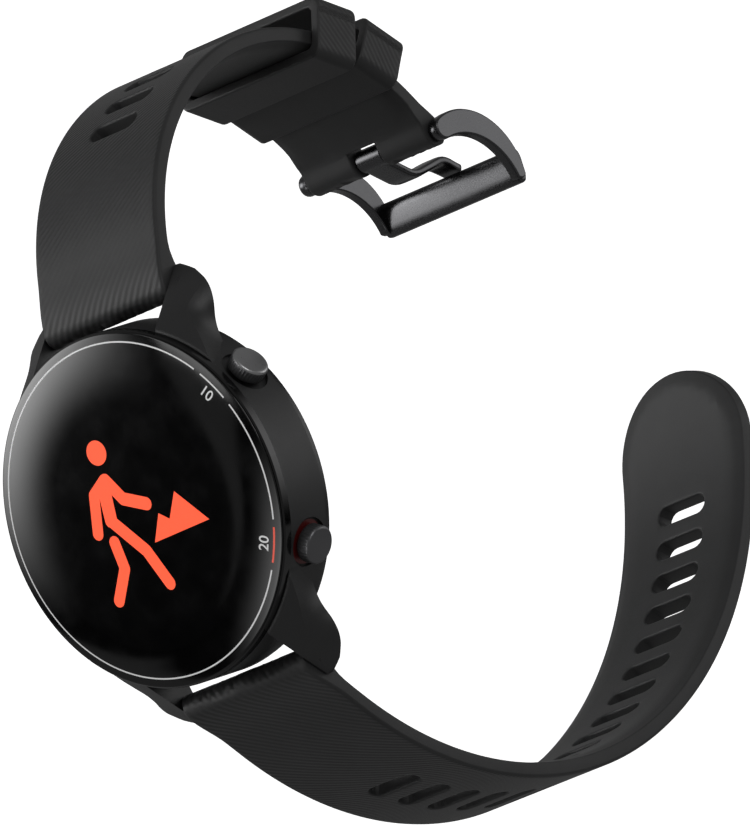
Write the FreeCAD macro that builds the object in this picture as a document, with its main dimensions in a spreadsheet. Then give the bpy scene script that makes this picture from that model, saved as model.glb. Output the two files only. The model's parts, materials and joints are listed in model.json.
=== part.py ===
import FreeCAD, Part
import os
import re
from math import cos, pi, radians, sin, tan

import Sketcher
from FreeCAD import Placement, Rotation, Vector

# Round sports watch with a two-piece silicone strap, as a parametric document.
# Row frame: origin at the centre of the back's resting face, +X towards the two push
# buttons, +Y towards twelve o'clock, +Z out of the display. Millimetres and degrees.

os.makedirs("parts", exist_ok=True)
doc = FreeCAD.newDocument("sports_watch")

# ---------------------------------------------------------------- driving dimensions
SIZES = {
    # head
    "case_radius": 23.0,
    "case_wall": 1.8,
    "case_bottom": 2.3,
    "side_height": 6.9,
    "bezel_height": 1.3,
    "bezel_land": 3.0,
    "glass_thickness": 0.9,
    "glass_round": 0.7,
    "glass_inset": 0.2,
    "glue_line": 0.1,
    "cover_thickness": 1.4,
    "cover_inset": 0.2,
    "bump_height": 0.6,
    "window_radius": 7.0,
    "screw_inset": 2.6,
    "screw_angle": 62.0,
    "screw_radius": 0.7,
    # lugs and spring bars
    "lug_reach": 6.7,
    "lug_tip_height": 1.3,
    "lug_toe": 0.3,
    "bar_offset": 2.2,
    "bar_height": 2.6,
    "bar_radius": 0.8,
    # push buttons
    "key_angle": 30.0,
    "key_drop": 0.15,
    "key_radius": 2.5,
    "key_travel": 0.4,
    "key_proud": 1.9,
    "stem_radius": 0.8,
    # strap
    "strap_width": 22.0,
    "strap_thickness": 2.5,
    "strap_root": 3.8,
    "side_gap": 0.3,
    "slot_length": 8.2,
    "slot_width": 2.6,
    "slot_pitch": 5.15,
    "slot_start": 25.6,
    "upper_heading": -8.0,
    "upper_first_length": 39.9,
    "upper_first_bend": 31.2,
    "upper_second_length": 38.8,
    "upper_second_bend": 29.4,
    "lower_heading": -43.1,
    "lower_straight": 9.0,
    "lower_first_length": 57.4,
    "lower_first_bend": 52.4,
    "lower_second_length": 60.7,
    "lower_second_bend": 55.5,
    # keepers and buckle
    "keeper_wall": 1.4,
    "keeper_length": 6.8,
    "keeper_room": 2.9,
    "free_keeper_place": 58.4,
    "fixed_keeper_place": 66.0,
    "pin_radius": 0.9,
    "buckle_heading": -123.7,
    "buckle_reach": 13.2,
    "buckle_arm": 1.5,
    "tongue_width": 4.4,
    # fits
    "running_gap": 0.07,
    "free_gap": 0.3,
}

sheet = doc.addObject("Spreadsheet::Sheet", "dim")
for row, (alias, amount) in enumerate(SIZES.items(), start=1):
    sheet.set(f"A{row}", alias)
    sheet.set(f"B{row}", str(amount))
    sheet.setAlias(f"B{row}", alias)

# Lengths that follow from the sheet, written as expressions of its aliases.
DERIVED = {
    "cavity_radius": "case_radius - case_wall",
    "screw_circle": "cavity_radius - screw_inset",
    "key_height": "case_bottom + side_height / 2 - key_drop",
    "recess_radius": "min(key_radius + 0.7; side_height / 2 - 0.2)",
    "case_top": "case_bottom + side_height",
    "bezel_top": "case_top + bezel_height",
    "bezel_inner": "case_radius - bezel_land",
    "glass_bottom": "bezel_top + glue_line",
    "glass_top": "glass_bottom + glass_thickness",
    "glass_radius": "case_radius - glass_inset",
    "display_radius": "bezel_inner - 0.6",
    "display_bottom": "case_top",
    "frame_top": "case_top - 0.6",
    "plate_bottom": "frame_top - 0.5",
    "board_top": "plate_bottom - 0.9",
    "board_bottom": "board_top - 0.8",
    "board_radius": "cavity_radius - 2.2",
    "cover_bottom": "case_bottom - cover_thickness",
    "cover_radius": "case_radius - cover_inset",
    "battery_bottom": "case_bottom + 0.3",
    "battery_top": "board_bottom - 0.2",
    "bar_y": "case_radius + bar_offset",
    "lug_gap": "strap_width / 2 + side_gap",
    "tube_end": "lug_gap - 1.3",
    "recess_floor": "case_radius - key_travel - 0.3",
    "boss_face": "case_radius - 3",
    "stem_end": "boss_face - 0.6",
    "pin_half": "strap_width / 2 + free_gap + buckle_arm",
}

probe = doc.addObject("App::FeaturePython", "probe")
probe.addProperty("App::PropertyFloat", "Value")


def bound(expression):
    """The expression with each derived length expanded and each alias read from the sheet."""
    def swap(match):
        word = match.group(0)
        if word in DERIVED:
            return f"({bound(DERIVED[word])})"
        return f"dim.{word}" if word in SIZES else word
    return re.sub(r"[a-z_]+", swap, str(expression))


def number(expression):
    """The present value of an expression."""
    probe.setExpression("Value", bound(expression))
    probe.recompute()
    return probe.Value


doc.recompute()

# ---------------------------------------------------------------- building blocks
nodes = []


def keep(label, item):
    """Name a finished sub-part, so that it is checked and written."""
    item.Label = label
    nodes.append(item)
    return item


def place(item, x="0", y="0", z="0", turn=None, axis=Vector(0, 0, 1)):
    """Put an object at a bound position, turned by a bound angle about an axis."""
    if turn is not None:
        item.Placement = Placement(Vector(), Rotation(axis, number(turn)))
        item.setExpression("Placement.Rotation.Angle", bound(turn))
    for name, expression in (("x", x), ("y", y), ("z", z)):
        item.setExpression(f"Placement.Base.{name}", bound(expression))
    return item


def cylinder(radius, height, x="0", y="0", z="0"):
    """A bound upright cylinder."""
    item = doc.addObject("Part::Cylinder", "cylinder")
    item.setExpression("Radius", bound(radius))
    item.setExpression("Height", bound(height))
    return place(item, x, y, z)


def box(length, width, height, x="0", y="0", z="0"):
    """A bound box, centred on x and y, standing on z."""
    item = doc.addObject("Part::Box", "box")
    item.setExpression("Length", bound(length))
    item.setExpression("Width", bound(width))
    item.setExpression("Height", bound(height))
    return place(item, f"{x} - ({length}) / 2", f"{y} - ({width}) / 2", z)


def cut(base, *tools):
    """The base object less one or more tools."""
    tool = tools[0] if len(tools) == 1 else fuse(*tools)
    item = doc.addObject("Part::Cut", "cut")
    item.Base = base
    item.Tool = tool
    return item


def fuse(*pieces):
    """Several objects as one."""
    item = doc.addObject("Part::MultiFuse", "fuse")
    item.Shapes = list(pieces)
    return item


def grouped(item):
    """An object inside a compound, so that the two can be placed one after the other."""
    group = doc.addObject("Part::Compound", "group")
    group.Links = [item]
    return group


def feature(shape):
    """A shape made by Part's own functions, as a document object."""
    item = doc.addObject("Part::Feature", "feature")
    item.Shape = shape
    return item


def outline(body, plane, corners):
    """A closed sketch of straight sides on one of the body's planes, every corner bound."""
    sketch = body.newObject("Sketcher::SketchObject", "outline")
    role = [item for item in body.Origin.OriginFeatures if item.Role == plane][0]
    sketch.AttachmentSupport = (role, "")
    sketch.MapMode = "FlatFace"
    spots = [Vector(number(across), number(up), 0) for across, up in corners]
    for index, spot in enumerate(spots):
        sketch.addGeometry(Part.LineSegment(spot, spots[(index + 1) % len(spots)]), False)
    for index in range(len(spots)):
        following = (index + 1) % len(spots)
        sketch.addConstraint(Sketcher.Constraint("Coincident", index, 2, following, 1))
    for index, (across, up) in enumerate(corners):
        for kind, axis, expression in (("DistanceX", -2, across), ("DistanceY", -1, up)):
            if expression == "0":
                sketch.addConstraint(Sketcher.Constraint("PointOnObject", index, 1, axis))
                continue
            amount = number(expression)
            row = sketch.addConstraint(Sketcher.Constraint(kind, -1, 1, index, 1, amount))
            sketch.setExpression(f"Constraints[{row}]", bound(expression))
    return sketch


def turned(corners, axis="V_Axis"):
    """A body turned about Z from (radius, z) corners, or about X from (x, radius) corners."""
    body = doc.addObject("PartDesign::Body", "turned")
    sketch = outline(body, "XZ_Plane", corners)
    spin = body.newObject("PartDesign::Revolution", "spin")
    spin.Profile = sketch
    spin.ReferenceAxis = (sketch, [axis])
    spin.Angle = 360.0
    body.Tip = spin
    return body


def padded(plane, corners, length):
    """A body padded equally to both sides of a plane from (across, up) corners."""
    body = doc.addObject("PartDesign::Body", "padded")
    sketch = outline(body, plane, corners)
    pad = body.newObject("PartDesign::Pad", "pad")
    pad.Profile = sketch
    pad.Midplane = True
    pad.setExpression("Length", bound(length))
    body.Tip = pad
    return body


def ring(inner, outer, bottom, top):
    """A flat ring about Z."""
    return turned([(inner, bottom), (outer, bottom), (outer, top), (inner, top)])


# ---------------------------------------------------------------- case
# A lug's outer side at its foot and at the case top, as (past the lug gap, past the drum).
LUG_FOOT_SIDE = [(4.3, -6.6), (4.9, -4.2), (6.7, -2.0), (7.2, 0.3), (4.6, 3.0), (1.9, 5.2)]
LUG_TOP_SIDE = [(6.25, -6.6), (5.15, -4.2), (2.6, -2.0), (-1.8, 0.3), (-4.3, 3.0), (-5.8, 5.2)]
LUG_ROOT_ANGLE = 37.0
LUG_CORE = 7.0
LUG_RIM_ROUND = 0.6
LUG_CORE_STEP = 1.3


def lug_flare():
    """A quarter turn of the surface the lugs follow: level at the rim, then a steep cone."""
    drum = number("case_radius")
    top = number("case_top")
    core = number("cavity_radius") + LUG_CORE_STEP
    end = drum + number("lug_reach")
    rim = Vector(drum, 0, top)
    bend = Vector(drum + LUG_RIM_ROUND / 2, 0, top - LUG_RIM_ROUND / 8)
    brow = Vector(drum + LUG_RIM_ROUND, 0, top - LUG_RIM_ROUND * 0.7)
    corners = [brow, Vector(end, 0, number("lug_tip_height")), Vector(end, 0, number("lug_toe")),
               Vector(core, 0, number("lug_toe")), Vector(core, 0, top), rim]
    edges = [Part.LineSegment(*pair).toShape() for pair in zip(corners, corners[1:])]
    edges.insert(0, Part.Arc(rim, bend, brow).toShape())
    return Part.Face(Part.Wire(edges)).revolve(Vector(), Vector(0, 0, 1), 90)


def lug_outline(spots, height):
    """A closed plan outline whose outer side runs through spots, (past gap, past drum)."""
    drum = number("case_radius")
    gap = number("lug_gap")
    inner = gap - LUG_CORE
    base = drum * 0.4
    root = Vector(drum * cos(radians(LUG_ROOT_ANGLE)), drum * sin(radians(LUG_ROOT_ANGLE)), height)
    side = [root] + [Vector(gap + across, drum + up, height) for across, up in spots]
    curve = Part.BSplineCurve()
    curve.interpolate(side)
    corners = [side[-1], Vector(inner, side[-1].y, height), Vector(inner, base, height),
               Vector(root.x * 0.9, base, height), root]
    edges = [Part.LineSegment(*pair).toShape() for pair in zip(corners, corners[1:])]
    return Part.Wire([curve.toShape()] + edges)


def lug_under():
    """Cutter below the lug: its underside falls to the toe and rises outwards."""
    gap = number("lug_gap")
    drum = number("case_radius")
    foot = number("case_bottom")
    toe = number("lug_toe")
    end = drum + number("lug_reach")
    deep = toe - 2 * foot
    corners = [(0, foot), (drum * 0.7, foot), (end * 0.93, toe), (end * 1.2, toe),
               (end * 1.2, deep), (0, deep), (0, foot)]
    face = Part.Face(Part.makePolygon([Vector(gap, y, z) for y, z in corners]))
    return face.extrude(Vector(drum, 0, drum * 0.25))


def lugs():
    """Four lugs: the flare within a side that leans out at its foot and waists at the drum."""
    gap = number("lug_gap")
    drum = number("case_radius")
    low = lug_outline(LUG_FOOT_SIDE, 0)
    high = lug_outline(LUG_TOP_SIDE, number("case_top"))
    room = Part.makeBox(drum, 2 * drum, 2 * drum, Vector(gap, 0, -drum))
    horn = lug_flare().common(Part.makeLoft([low, high], True, True))
    horn = horn.common(room).cut(lug_under()).Solids[0]
    pair = [horn, horn.mirror(Vector(), Vector(1, 0, 0))]
    return pair + [lug.mirror(Vector(), Vector(0, 1, 0)) for lug in pair]


def about_key(item, side, x):
    """Place a piece whose own X axis is a button's axis; side is 1 for home, -1 for sport."""
    item.Placement = Placement(Vector(), Rotation(Vector(0, 0, side), number("key_angle")))
    item.setExpression("Placement.Rotation.Angle", bound("key_angle"))
    reach = f"({x})"
    item.setExpression("Placement.Base.x", f"{bound(reach)} * cos({bound('key_angle')})")
    sign = "" if side > 0 else "-"
    item.setExpression("Placement.Base.y", f"{sign}{bound(reach)} * sin({bound('key_angle')})")
    item.setExpression("Placement.Base.z", bound("key_height"))
    return item


def key_drill(side, radius, start, end):
    """A round cutter along a button's axis, from one distance to another."""
    corners = [(start, "0"), (end, "0"), (end, radius), (start, radius)]
    return about_key(turned(corners, "H_Axis"), side, "0")


def case_body():
    """Drum, lugs and button bosses as one moulding, open above and below."""
    drum = cylinder("case_radius", "side_height", z="case_bottom")
    cavity = cylinder("cavity_radius", "side_height + 2", z="case_bottom - 1")
    seat = ring("cavity_radius - 1", "cavity_radius + 1.2", "case_bottom - 1", "case_bottom + 0.2")
    wall = cut(drum, cavity, seat)
    bosses = [key_drill(side, "2.2", "boss_face", "case_radius - 1") for side in (1, -1)]
    solid = fuse(wall, *[feature(lug) for lug in lugs()], *bosses)
    drills = []
    for side in (1, -1):
        drills.append(key_drill(side, "stem_radius + 0.05", "boss_face - 1", "case_radius + 1"))
        drills.append(key_drill(side, "stem_radius + 0.55", "boss_face + 0.8", "boss_face + 1.5"))
        drills.append(key_drill(side, "recess_radius", "recess_floor", "case_radius + 4"))
        drills.append(bar_hole(side))
    drills.append(cylinder("cover_radius + 0.08", "case_bottom + 2", z="-2"))
    return keep("case_body", cut(solid, *drills))


def bar_hole(side):
    """The blind holes in a pair of lugs for the spring-bar tips, as one long cutter."""
    item = doc.addObject("Part::Cylinder", "hole")
    item.setExpression("Radius", bound("bar_radius - 0.32"))
    item.setExpression("Height", bound("lug_gap * 2 + 2.2"))
    item.Placement = Placement(Vector(), Rotation(Vector(0, 1, 0), 90))
    item.setExpression("Placement.Base.x", bound("-(lug_gap + 1.1)"))
    item.setExpression("Placement.Base.y", bound("bar_y") if side > 0 else f"-{bound('bar_y')}")
    item.setExpression("Placement.Base.z", bound("bar_height"))
    return item


def bezel_ring():
    """Glossy band between the case side and the glass, with a lip inside the case."""
    corners = [
        ("cavity_radius - 0.65", "frame_top"),
        ("cavity_radius - 0.05", "frame_top"),
        ("cavity_radius - 0.05", "case_top"),
        ("case_radius", "case_top"),
        ("case_radius", "bezel_top - 0.2"),
        ("case_radius - 0.2", "bezel_top"),
        ("bezel_inner", "bezel_top"),
        ("bezel_inner", "case_top + 0.1"),
        ("cavity_radius - 0.65", "case_top + 0.1"),
    ]
    return keep("bezel_ring", turned(corners))


def cover_glass():
    """Flat glass with a rounded edge."""
    disc = cylinder("glass_radius", "glass_thickness", z="glass_bottom")
    doc.recompute()
    rounded = doc.addObject("Part::Fillet", "rounded")
    rounded.Base = disc
    top = number("glass_top")
    rims = [index for index, edge in enumerate(disc.Shape.Edges, start=1)
            if edge.BoundBox.ZMin > top - 0.01]
    rounded.Edges = [(index, number("glass_round"), number("glass_round")) for index in rims]
    return keep("cover_glass", rounded)


def display_stack():
    """Glass, its adhesive, the display, its foam cushion and the cable to the board."""
    cover_glass()
    keep("glass_adhesive", ring("bezel_inner", "glass_radius - 0.3", "bezel_top", "glass_bottom"))
    keep("display_panel",
         cylinder("display_radius", "glass_bottom - display_bottom", z="display_bottom"))
    keep("display_cushion",
         cylinder("display_radius - 1.1", "display_bottom - frame_top", z="frame_top"))
    cable = [
        ("-(board_radius + 0.35)", "board_top"),
        ("-(board_radius - 1.8)", "board_top"),
        ("-(board_radius - 1.8)", "board_top + 0.2"),
        ("-(board_radius + 0.15)", "board_top + 0.2"),
        ("-(board_radius + 0.15)", "display_bottom"),
        ("-(board_radius + 0.35)", "display_bottom"),
    ]
    keep("display_cable", padded("YZ_Plane", cable, "case_radius * 0.26"))


def screw_spots():
    """The four screw centres as bound expressions."""
    across = "screw_circle * cos(screw_angle)"
    along = "screw_circle * sin(screw_angle)"
    return [(f"{sx}{across}", f"{sy}{along}") for sx in ("", "-") for sy in ("", "-")]


def inner_frame():
    """Moulded frame: a plate under the display, a ring wall and four screw posts."""
    wall = ring("cavity_radius - 1", "cavity_radius - 0.15", "case_bottom + 0.8", "plate_bottom")
    plate = cylinder("cavity_radius - 0.15", "frame_top - plate_bottom", z="plate_bottom")
    posts = [cylinder("screw_radius + 0.8", "plate_bottom - case_bottom - 0.05", x, y,
                      "case_bottom + 0.05") for x, y in screw_spots()]
    solid = fuse(wall, plate, *posts)
    tools = [key_drill(side, "key_radius + 0.3", "boss_face - 3", "case_radius")
             for side in (1, -1)]
    tools += [cylinder("screw_radius + 0.02", "2.4", x, y, "case_bottom") for x, y in screw_spots()]
    tools.append(box("case_radius * 0.3", "0.9", "1.5", y="-(board_radius + 0.25)",
                     z="plate_bottom - 0.5"))
    return keep("inner_frame", cut(solid, *tools))


def electronics():
    """Board with its parts, battery, motor and the antenna strip round the frame."""
    board = cylinder("board_radius", "board_top - board_bottom", z="board_bottom")
    notches = [cylinder("screw_radius + 1", "2", x, y, "board_bottom - 0.5")
               for x, y in screw_spots()]
    for side in (1, -1):
        notch = grouped(box("2.8", "3.4", "1.5", x="stem_end - 1.2", z="-0.75"))
        notches.append(about_key(notch, side, "0"))
    keep("main_board", cut(board, *notches))
    keep("processor_shield",
         box("case_radius * 0.5", "case_radius * 0.42", "plate_bottom - board_top",
             x="-case_radius * 0.22", y="case_radius * 0.2", z="board_top"))
    keep("positioning_module",
         box("case_radius * 0.3", "case_radius * 0.3", "0.8",
             x="case_radius * 0.36", y="case_radius * 0.1", z="board_top"))
    cell = box("case_radius * 1.04", "case_radius * 1.13", "battery_top - battery_bottom",
               x="-case_radius * 0.15", z="battery_bottom")
    keep("battery", cell)
    keep("vibration_motor",
         cylinder("case_radius * 0.174", "battery_top - battery_bottom - 0.8",
                  x="case_radius * 0.62", z="battery_bottom"))
    strip = ring("display_radius", "cavity_radius - 0.8", "frame_top", "frame_top + 0.4")
    opening = box("case_radius * 3", "case_radius", "2",
                  y="-case_radius * 1.2", z="frame_top - 0.5")
    keep("antenna_strip", cut(strip, opening))


def back_cover():
    """Round cover with a raised middle, the sensor window's seat, screw and pin holes."""
    corners = [
        ("window_radius + 0.05", "bump_height / 3"),
        ("window_radius + 4", "bump_height / 2"),
        ("window_radius + 7.5", "cover_bottom"),
        ("cover_radius - 0.6", "cover_bottom"),
        ("cover_radius", "cover_bottom + 0.5"),
        ("cover_radius", "case_bottom"),
        ("window_radius + 1.2", "case_bottom"),
        ("window_radius + 1.2", "case_bottom - 1.05"),
        ("window_radius + 0.05", "case_bottom - 1.05"),
    ]
    plate = turned(corners)
    tools = []
    for x, y in screw_spots():
        tools.append(cylinder("screw_radius + 0.05", "4", x, y, "cover_bottom - 1"))
        tools.append(cylinder("screw_radius + 0.6", "1.7", x, y, "cover_bottom - 1"))
    for x in pin_spots():
        tools.append(cylinder("0.92", "4", x, "-(window_radius + 2.6)", "-1"))
    return keep("back_cover", cut(plate, *tools))


def pin_spots():
    """Positions across of the two charging contacts."""
    return ("2.1", "-2.1")


def back_parts():
    """Cover, its gasket and screws, the sensor stack and the charging contacts."""
    back_cover()
    keep("back_gasket", ring("cavity_radius + 0.05", "cavity_radius + 1.15",
                             "case_bottom", "case_bottom + 0.2"))
    screws = []
    for x, y in screw_spots():
        screws.append(cylinder("screw_radius + 0.5", "0.65", x, y, "cover_bottom + 0.05"))
        screws.append(cylinder("screw_radius", "3.3", x, y, "cover_bottom + 0.1"))
    keep("back_screws", fuse(*screws))
    corners = [
        ("0", "0"),
        ("window_radius - 0.3", "0"),
        ("window_radius", "0.15"),
        ("window_radius", "case_bottom - 1"),
        ("window_radius + 1.1", "case_bottom - 1"),
        ("window_radius + 1.1", "case_bottom - 0.8"),
        ("0", "case_bottom - 0.8"),
    ]
    keep("sensor_window", turned(corners))
    keep("sensor_board", cylinder("window_radius + 0.8", "0.3", z="case_bottom - 0.1"))
    chips = [box("2.2", "2.2", "0.5", z="case_bottom - 0.6")]
    for x, y in (("1", "0"), ("-1", "0"), ("0", "1"), ("0", "-1")):
        chips.append(box("1.4", "1.4", "0.5", f"{x} * window_radius * 0.55",
                         f"{y} * window_radius * 0.55", "case_bottom - 0.6"))
    keep("heart_sensor_chips", fuse(*chips))
    pins = [cylinder("0.9", "case_bottom - 0.3", x, "-(window_radius + 2.6)", "0.3")
            for x in pin_spots()]
    keep("charging_contacts", fuse(*pins))


# ---------------------------------------------------------------- push buttons
def push_button(name, side):
    """One button: cap with stem, O-ring, retaining clip, switch and its plunger."""
    cap_foot = "case_radius - 0.1"
    cap_face = "case_radius + key_proud"
    corners = [
        ("stem_end", "0"),
        ("stem_end", "stem_radius"),
        ("boss_face - 0.33", "stem_radius"),
        ("boss_face - 0.33", "stem_radius - 0.25"),
        ("boss_face - 0.03", "stem_radius - 0.25"),
        ("boss_face - 0.03", "stem_radius"),
        (cap_foot, "stem_radius"),
        (cap_foot, "key_radius - 0.1"),
        ("case_radius + 0.05", "key_radius"),
        (f"{cap_face} - 0.3", "key_radius"),
        (cap_face, "key_radius - 0.3"),
        (f"{cap_face} + 0.06", "key_radius * 0.5"),
        (f"{cap_face} + 0.08", "0"),
    ]
    keep(f"{name}_button", about_key(turned(corners, "H_Axis"), side, "0"))
    clip = [
        ("boss_face - 0.3", "stem_radius - 0.23"),
        ("boss_face - 0.06", "stem_radius - 0.23"),
        ("boss_face - 0.06", "stem_radius + 0.5"),
        ("boss_face - 0.3", "stem_radius + 0.5"),
    ]
    mouth = box("2", "0.9", "2", x="boss_face")
    disc = turned(clip, "H_Axis")
    keep(f"{name}_button_clip", about_key(cut(disc, mouth), side, "0"))
    seal = doc.addObject("Part::Torus", "seal")
    seal.setExpression("Radius1", bound("stem_radius + 0.28"))
    seal.setExpression("Radius2", "0.25")
    seal.Placement = Placement(Vector(), Rotation(Vector(0, 1, 0), 90))
    seal.setExpression("Placement.Base.x", bound("boss_face + 1.15"))
    keep(f"{name}_button_seal", about_key(grouped(seal), side, "0"))
    plunger = [
        ("stem_end - 0.95", "0"),
        ("stem_end - 0.05", "0"),
        ("stem_end - 0.05", "0.6"),
        ("stem_end - 0.95", "0.6"),
    ]
    keep(f"{name}_switch_plunger", about_key(turned(plunger, "H_Axis"), side, "0"))
    body = box("1.8", "3", "1.4", x="stem_end - 1.4", z="-0.7")
    well = turned([("stem_end - 1.45", "0"), ("stem_end + 1", "0"), ("stem_end + 1", "0.66"),
                   ("stem_end - 1.45", "0.66")], "H_Axis")
    keep(f"{name}_switch", about_key(cut(body, well), side, "0"))


# ---------------------------------------------------------------- strap path
def strap_path(heading, runs):
    """A path in the YZ plane from the +Y spring bar: runs of (length, bend radius), turning
    clockwise, a bend of 0 being straight. Returns [(start, heading, length, bend)]."""
    path = []
    start = Vector(0, number("bar_y"), number("bar_height"))
    for length, bend in runs:
        path.append((start, heading, length, bend))
        start, heading = along(path, sum(run[2] for run in path))
    return path


def along(path, distance):
    """The point and heading at a distance along a path."""
    for start, heading, length, bend in path:
        if distance <= length or (start, heading, length, bend) == path[-1]:
            break
        distance -= length
    ahead = Vector(0, cos(radians(heading)), sin(radians(heading)))
    if not bend:
        return start + ahead * distance, heading
    turn = distance / bend
    left = Vector(0, -ahead.z, ahead.y)
    point = start + ahead * (bend * sin(turn)) - left * (bend * (1 - cos(turn)))
    return point, heading - turn * 180 / pi


def offset_point(path, distance, offset):
    """A point at a distance along a path, moved outwards by an offset."""
    point, heading = along(path, distance)
    return point + Vector(0, -sin(radians(heading)), cos(radians(heading))) * offset


def offset_edges(path, start, end, offset):
    """The edges of a path from start to end, moved outwards by an offset."""
    edges = []
    done = 0.0
    for _, _, length, bend in path:
        first = max(start, done)
        last = min(end, done + length)
        done += length
        if last - first < 0.01:
            continue
        ends = [offset_point(path, spot, offset) for spot in (first, (first + last) / 2, last)]
        curve = Part.Arc(*ends) if bend else Part.LineSegment(ends[0], ends[2])
        edges.append(curve.toShape())
    return edges


def ribbon(path, start, end, inner, outer, width):
    """A band that follows a path, between two offsets, centred on x = 0."""
    sides = offset_edges(path, start, end, inner) + offset_edges(path, start, end, outer)
    for spot in (start, end):
        ends = [offset_point(path, spot, offset) for offset in (inner, outer)]
        sides.append(Part.LineSegment(*ends).toShape())
    face = Part.Face(Part.Wire(Part.__sortEdges__(sides)))
    face.translate(Vector(-width / 2, 0, 0))
    return face.extrude(Vector(width, 0, 0))


def crossways(radius, half, point):
    """A cylinder along X, centred on x = 0."""
    return Part.makeCylinder(radius, 2 * half, point - Vector(half, 0, 0), Vector(1, 0, 0))


def beside(shape, point, heading):
    """A shape from local (X, along, outwards) coordinates to a place on a path."""
    moved = shape.copy()
    moved.Placement = Placement(point, Rotation(Vector(1, 0, 0), heading))
    return moved


# Strap details.
ROOT_TAPER = 6.5
NOTCH_BACK = 2.3
NOTCH_FRONT = 4.0
PIN_EYE_WALL = 1.0
CUT_DEPTH = 3.0
FIXED_KEEPER_FLOOR = 0.6
KEEPER_INNER_ROUND = 0.6
SINK = 0.05


def block(width, start, end, low, high):
    """A box in local coordinates, centred on x = 0."""
    return Part.makeBox(width, end - start, high - low, Vector(-width / 2, start, low))


def rounded_block(width, start, end, low, high, radius):
    """The same box with its four long edges along Y rounded."""
    solid = block(width, start, end, low, high)
    edges = [edge for edge in solid.Edges if edge.BoundBox.YLength > (end - start) * 0.9]
    return solid.makeFillet(radius, edges)


def slots(path, count):
    """Round-ended slots across a strap, cut square to its surface."""
    length = number("slot_length")
    width = number("slot_width")
    cutter = block(length - width, -width / 2, width / 2, -CUT_DEPTH, CUT_DEPTH)
    for side in (1, -1):
        spot = Vector(side * (length - width) / 2, 0, -CUT_DEPTH)
        cutter = cutter.fuse(Part.makeCylinder(width / 2, 2 * CUT_DEPTH, spot))
    places = [number("slot_start") + index * number("slot_pitch") for index in range(count)]
    return [beside(cutter, *along(path, spot)) for spot in places]


def strap_root(path):
    """The thick end of a strap round its spring bar."""
    bar = path[0][0]
    half = number("strap_width") / 2
    thick = number("strap_root") / 2
    thin = number("strap_thickness") / 2
    eye = crossways(thick, half, bar)
    taper = Part.makePolygon([
        Vector(0, 0, thick - SINK), Vector(0, ROOT_TAPER, thin - 0.7),
        Vector(0, ROOT_TAPER, SINK - thin), Vector(0, 0, SINK - thick),
        Vector(0, 0, thick - SINK)])
    wedge = Part.Face(taper)
    wedge.translate(Vector(-half, 0, 0))
    wedge = wedge.extrude(Vector(2 * half, 0, 0))
    return eye.fuse(beside(wedge, bar, path[0][1]))


def upper_path():
    """Mid-line of the buckle strap."""
    return strap_path(number("upper_heading"), [
        (number("upper_first_length"), number("upper_first_bend")),
        (number("upper_second_length"), number("upper_second_bend")),
    ])


def lower_path():
    """Mid-line of the holed strap, drawn on the +Y side and mirrored afterwards."""
    return strap_path(number("lower_heading"), [
        (number("lower_straight"), 0.0),
        (number("lower_first_length"), number("lower_first_bend")),
        (number("lower_second_length"), number("lower_second_bend")),
    ])


def path_length(path):
    """Total length of a path."""
    return sum(run[2] for run in path)


def upper_strap():
    """Buckle strap: root, slots, fixed keeper, notch and the end round the buckle pin."""
    path = upper_path()
    end = path_length(path)
    half_thick = number("strap_thickness") / 2
    width = number("strap_width")
    pin, heading = along(path, end)
    band = ribbon(path, 0, end, -half_thick, half_thick, width).fuse(strap_root(path))
    band = band.fuse(crossways(number("pin_radius") + PIN_EYE_WALL, width / 2, pin))
    band = band.fuse(keeper(path, number("fixed_keeper_place"), 0.0))
    room = number("tongue_width") + 2 * number("free_gap")
    notch = block(room, -NOTCH_BACK, NOTCH_FRONT, -CUT_DEPTH, CUT_DEPTH)
    tools = slots(path, 4) + [
        beside(notch, pin, heading),
        crossways(number("pin_radius") + number("running_gap"), width, pin),
        crossways(number("bar_radius") + number("running_gap"), width, path[0][0]),
    ]
    return keep("upper_strap", feature(band.cut(tools)))


def keeper(path, place, slack):
    """A keeper in place on a strap; slack is its clearance round the strap."""
    wall = number("keeper_wall")
    half = number("keeper_length") / 2
    thick = number("strap_thickness") / 2
    width = number("strap_width") + 2 * number("free_gap")
    low = -thick - slack - (wall if slack else FIXED_KEEPER_FLOOR)
    high = thick + number("keeper_room") + wall
    shell = rounded_block(width + 2 * wall, -half, half, low, high, wall)
    floor = -thick - slack if slack else thick - SINK
    room = rounded_block(width, -half - 1, half + 1, floor, high - wall, KEEPER_INNER_ROUND)
    return beside(shell.cut(room), *along(path, place))


def lower_strap():
    """Holed strap: root, seventeen slots and a rounded tip."""
    path = lower_path()
    end = path_length(path)
    half_thick = number("strap_thickness") / 2
    width = number("strap_width")
    band = ribbon(path, 0, end, -half_thick, half_thick, width).fuse(strap_root(path))
    tip = block(width + 2, 0, width, -8, 8)
    tip = tip.cut(Part.makeCylinder(width / 2, 30, Vector(0, 0, -15)))
    tools = slots(path, 17) + [
        beside(tip, *along(path, end - width / 2)),
        crossways(number("bar_radius") + number("running_gap"), width, path[0][0]),
    ]
    return keep("lower_strap", feature(band.cut(tools).mirror(Vector(), Vector(0, 1, 0))))


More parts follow.
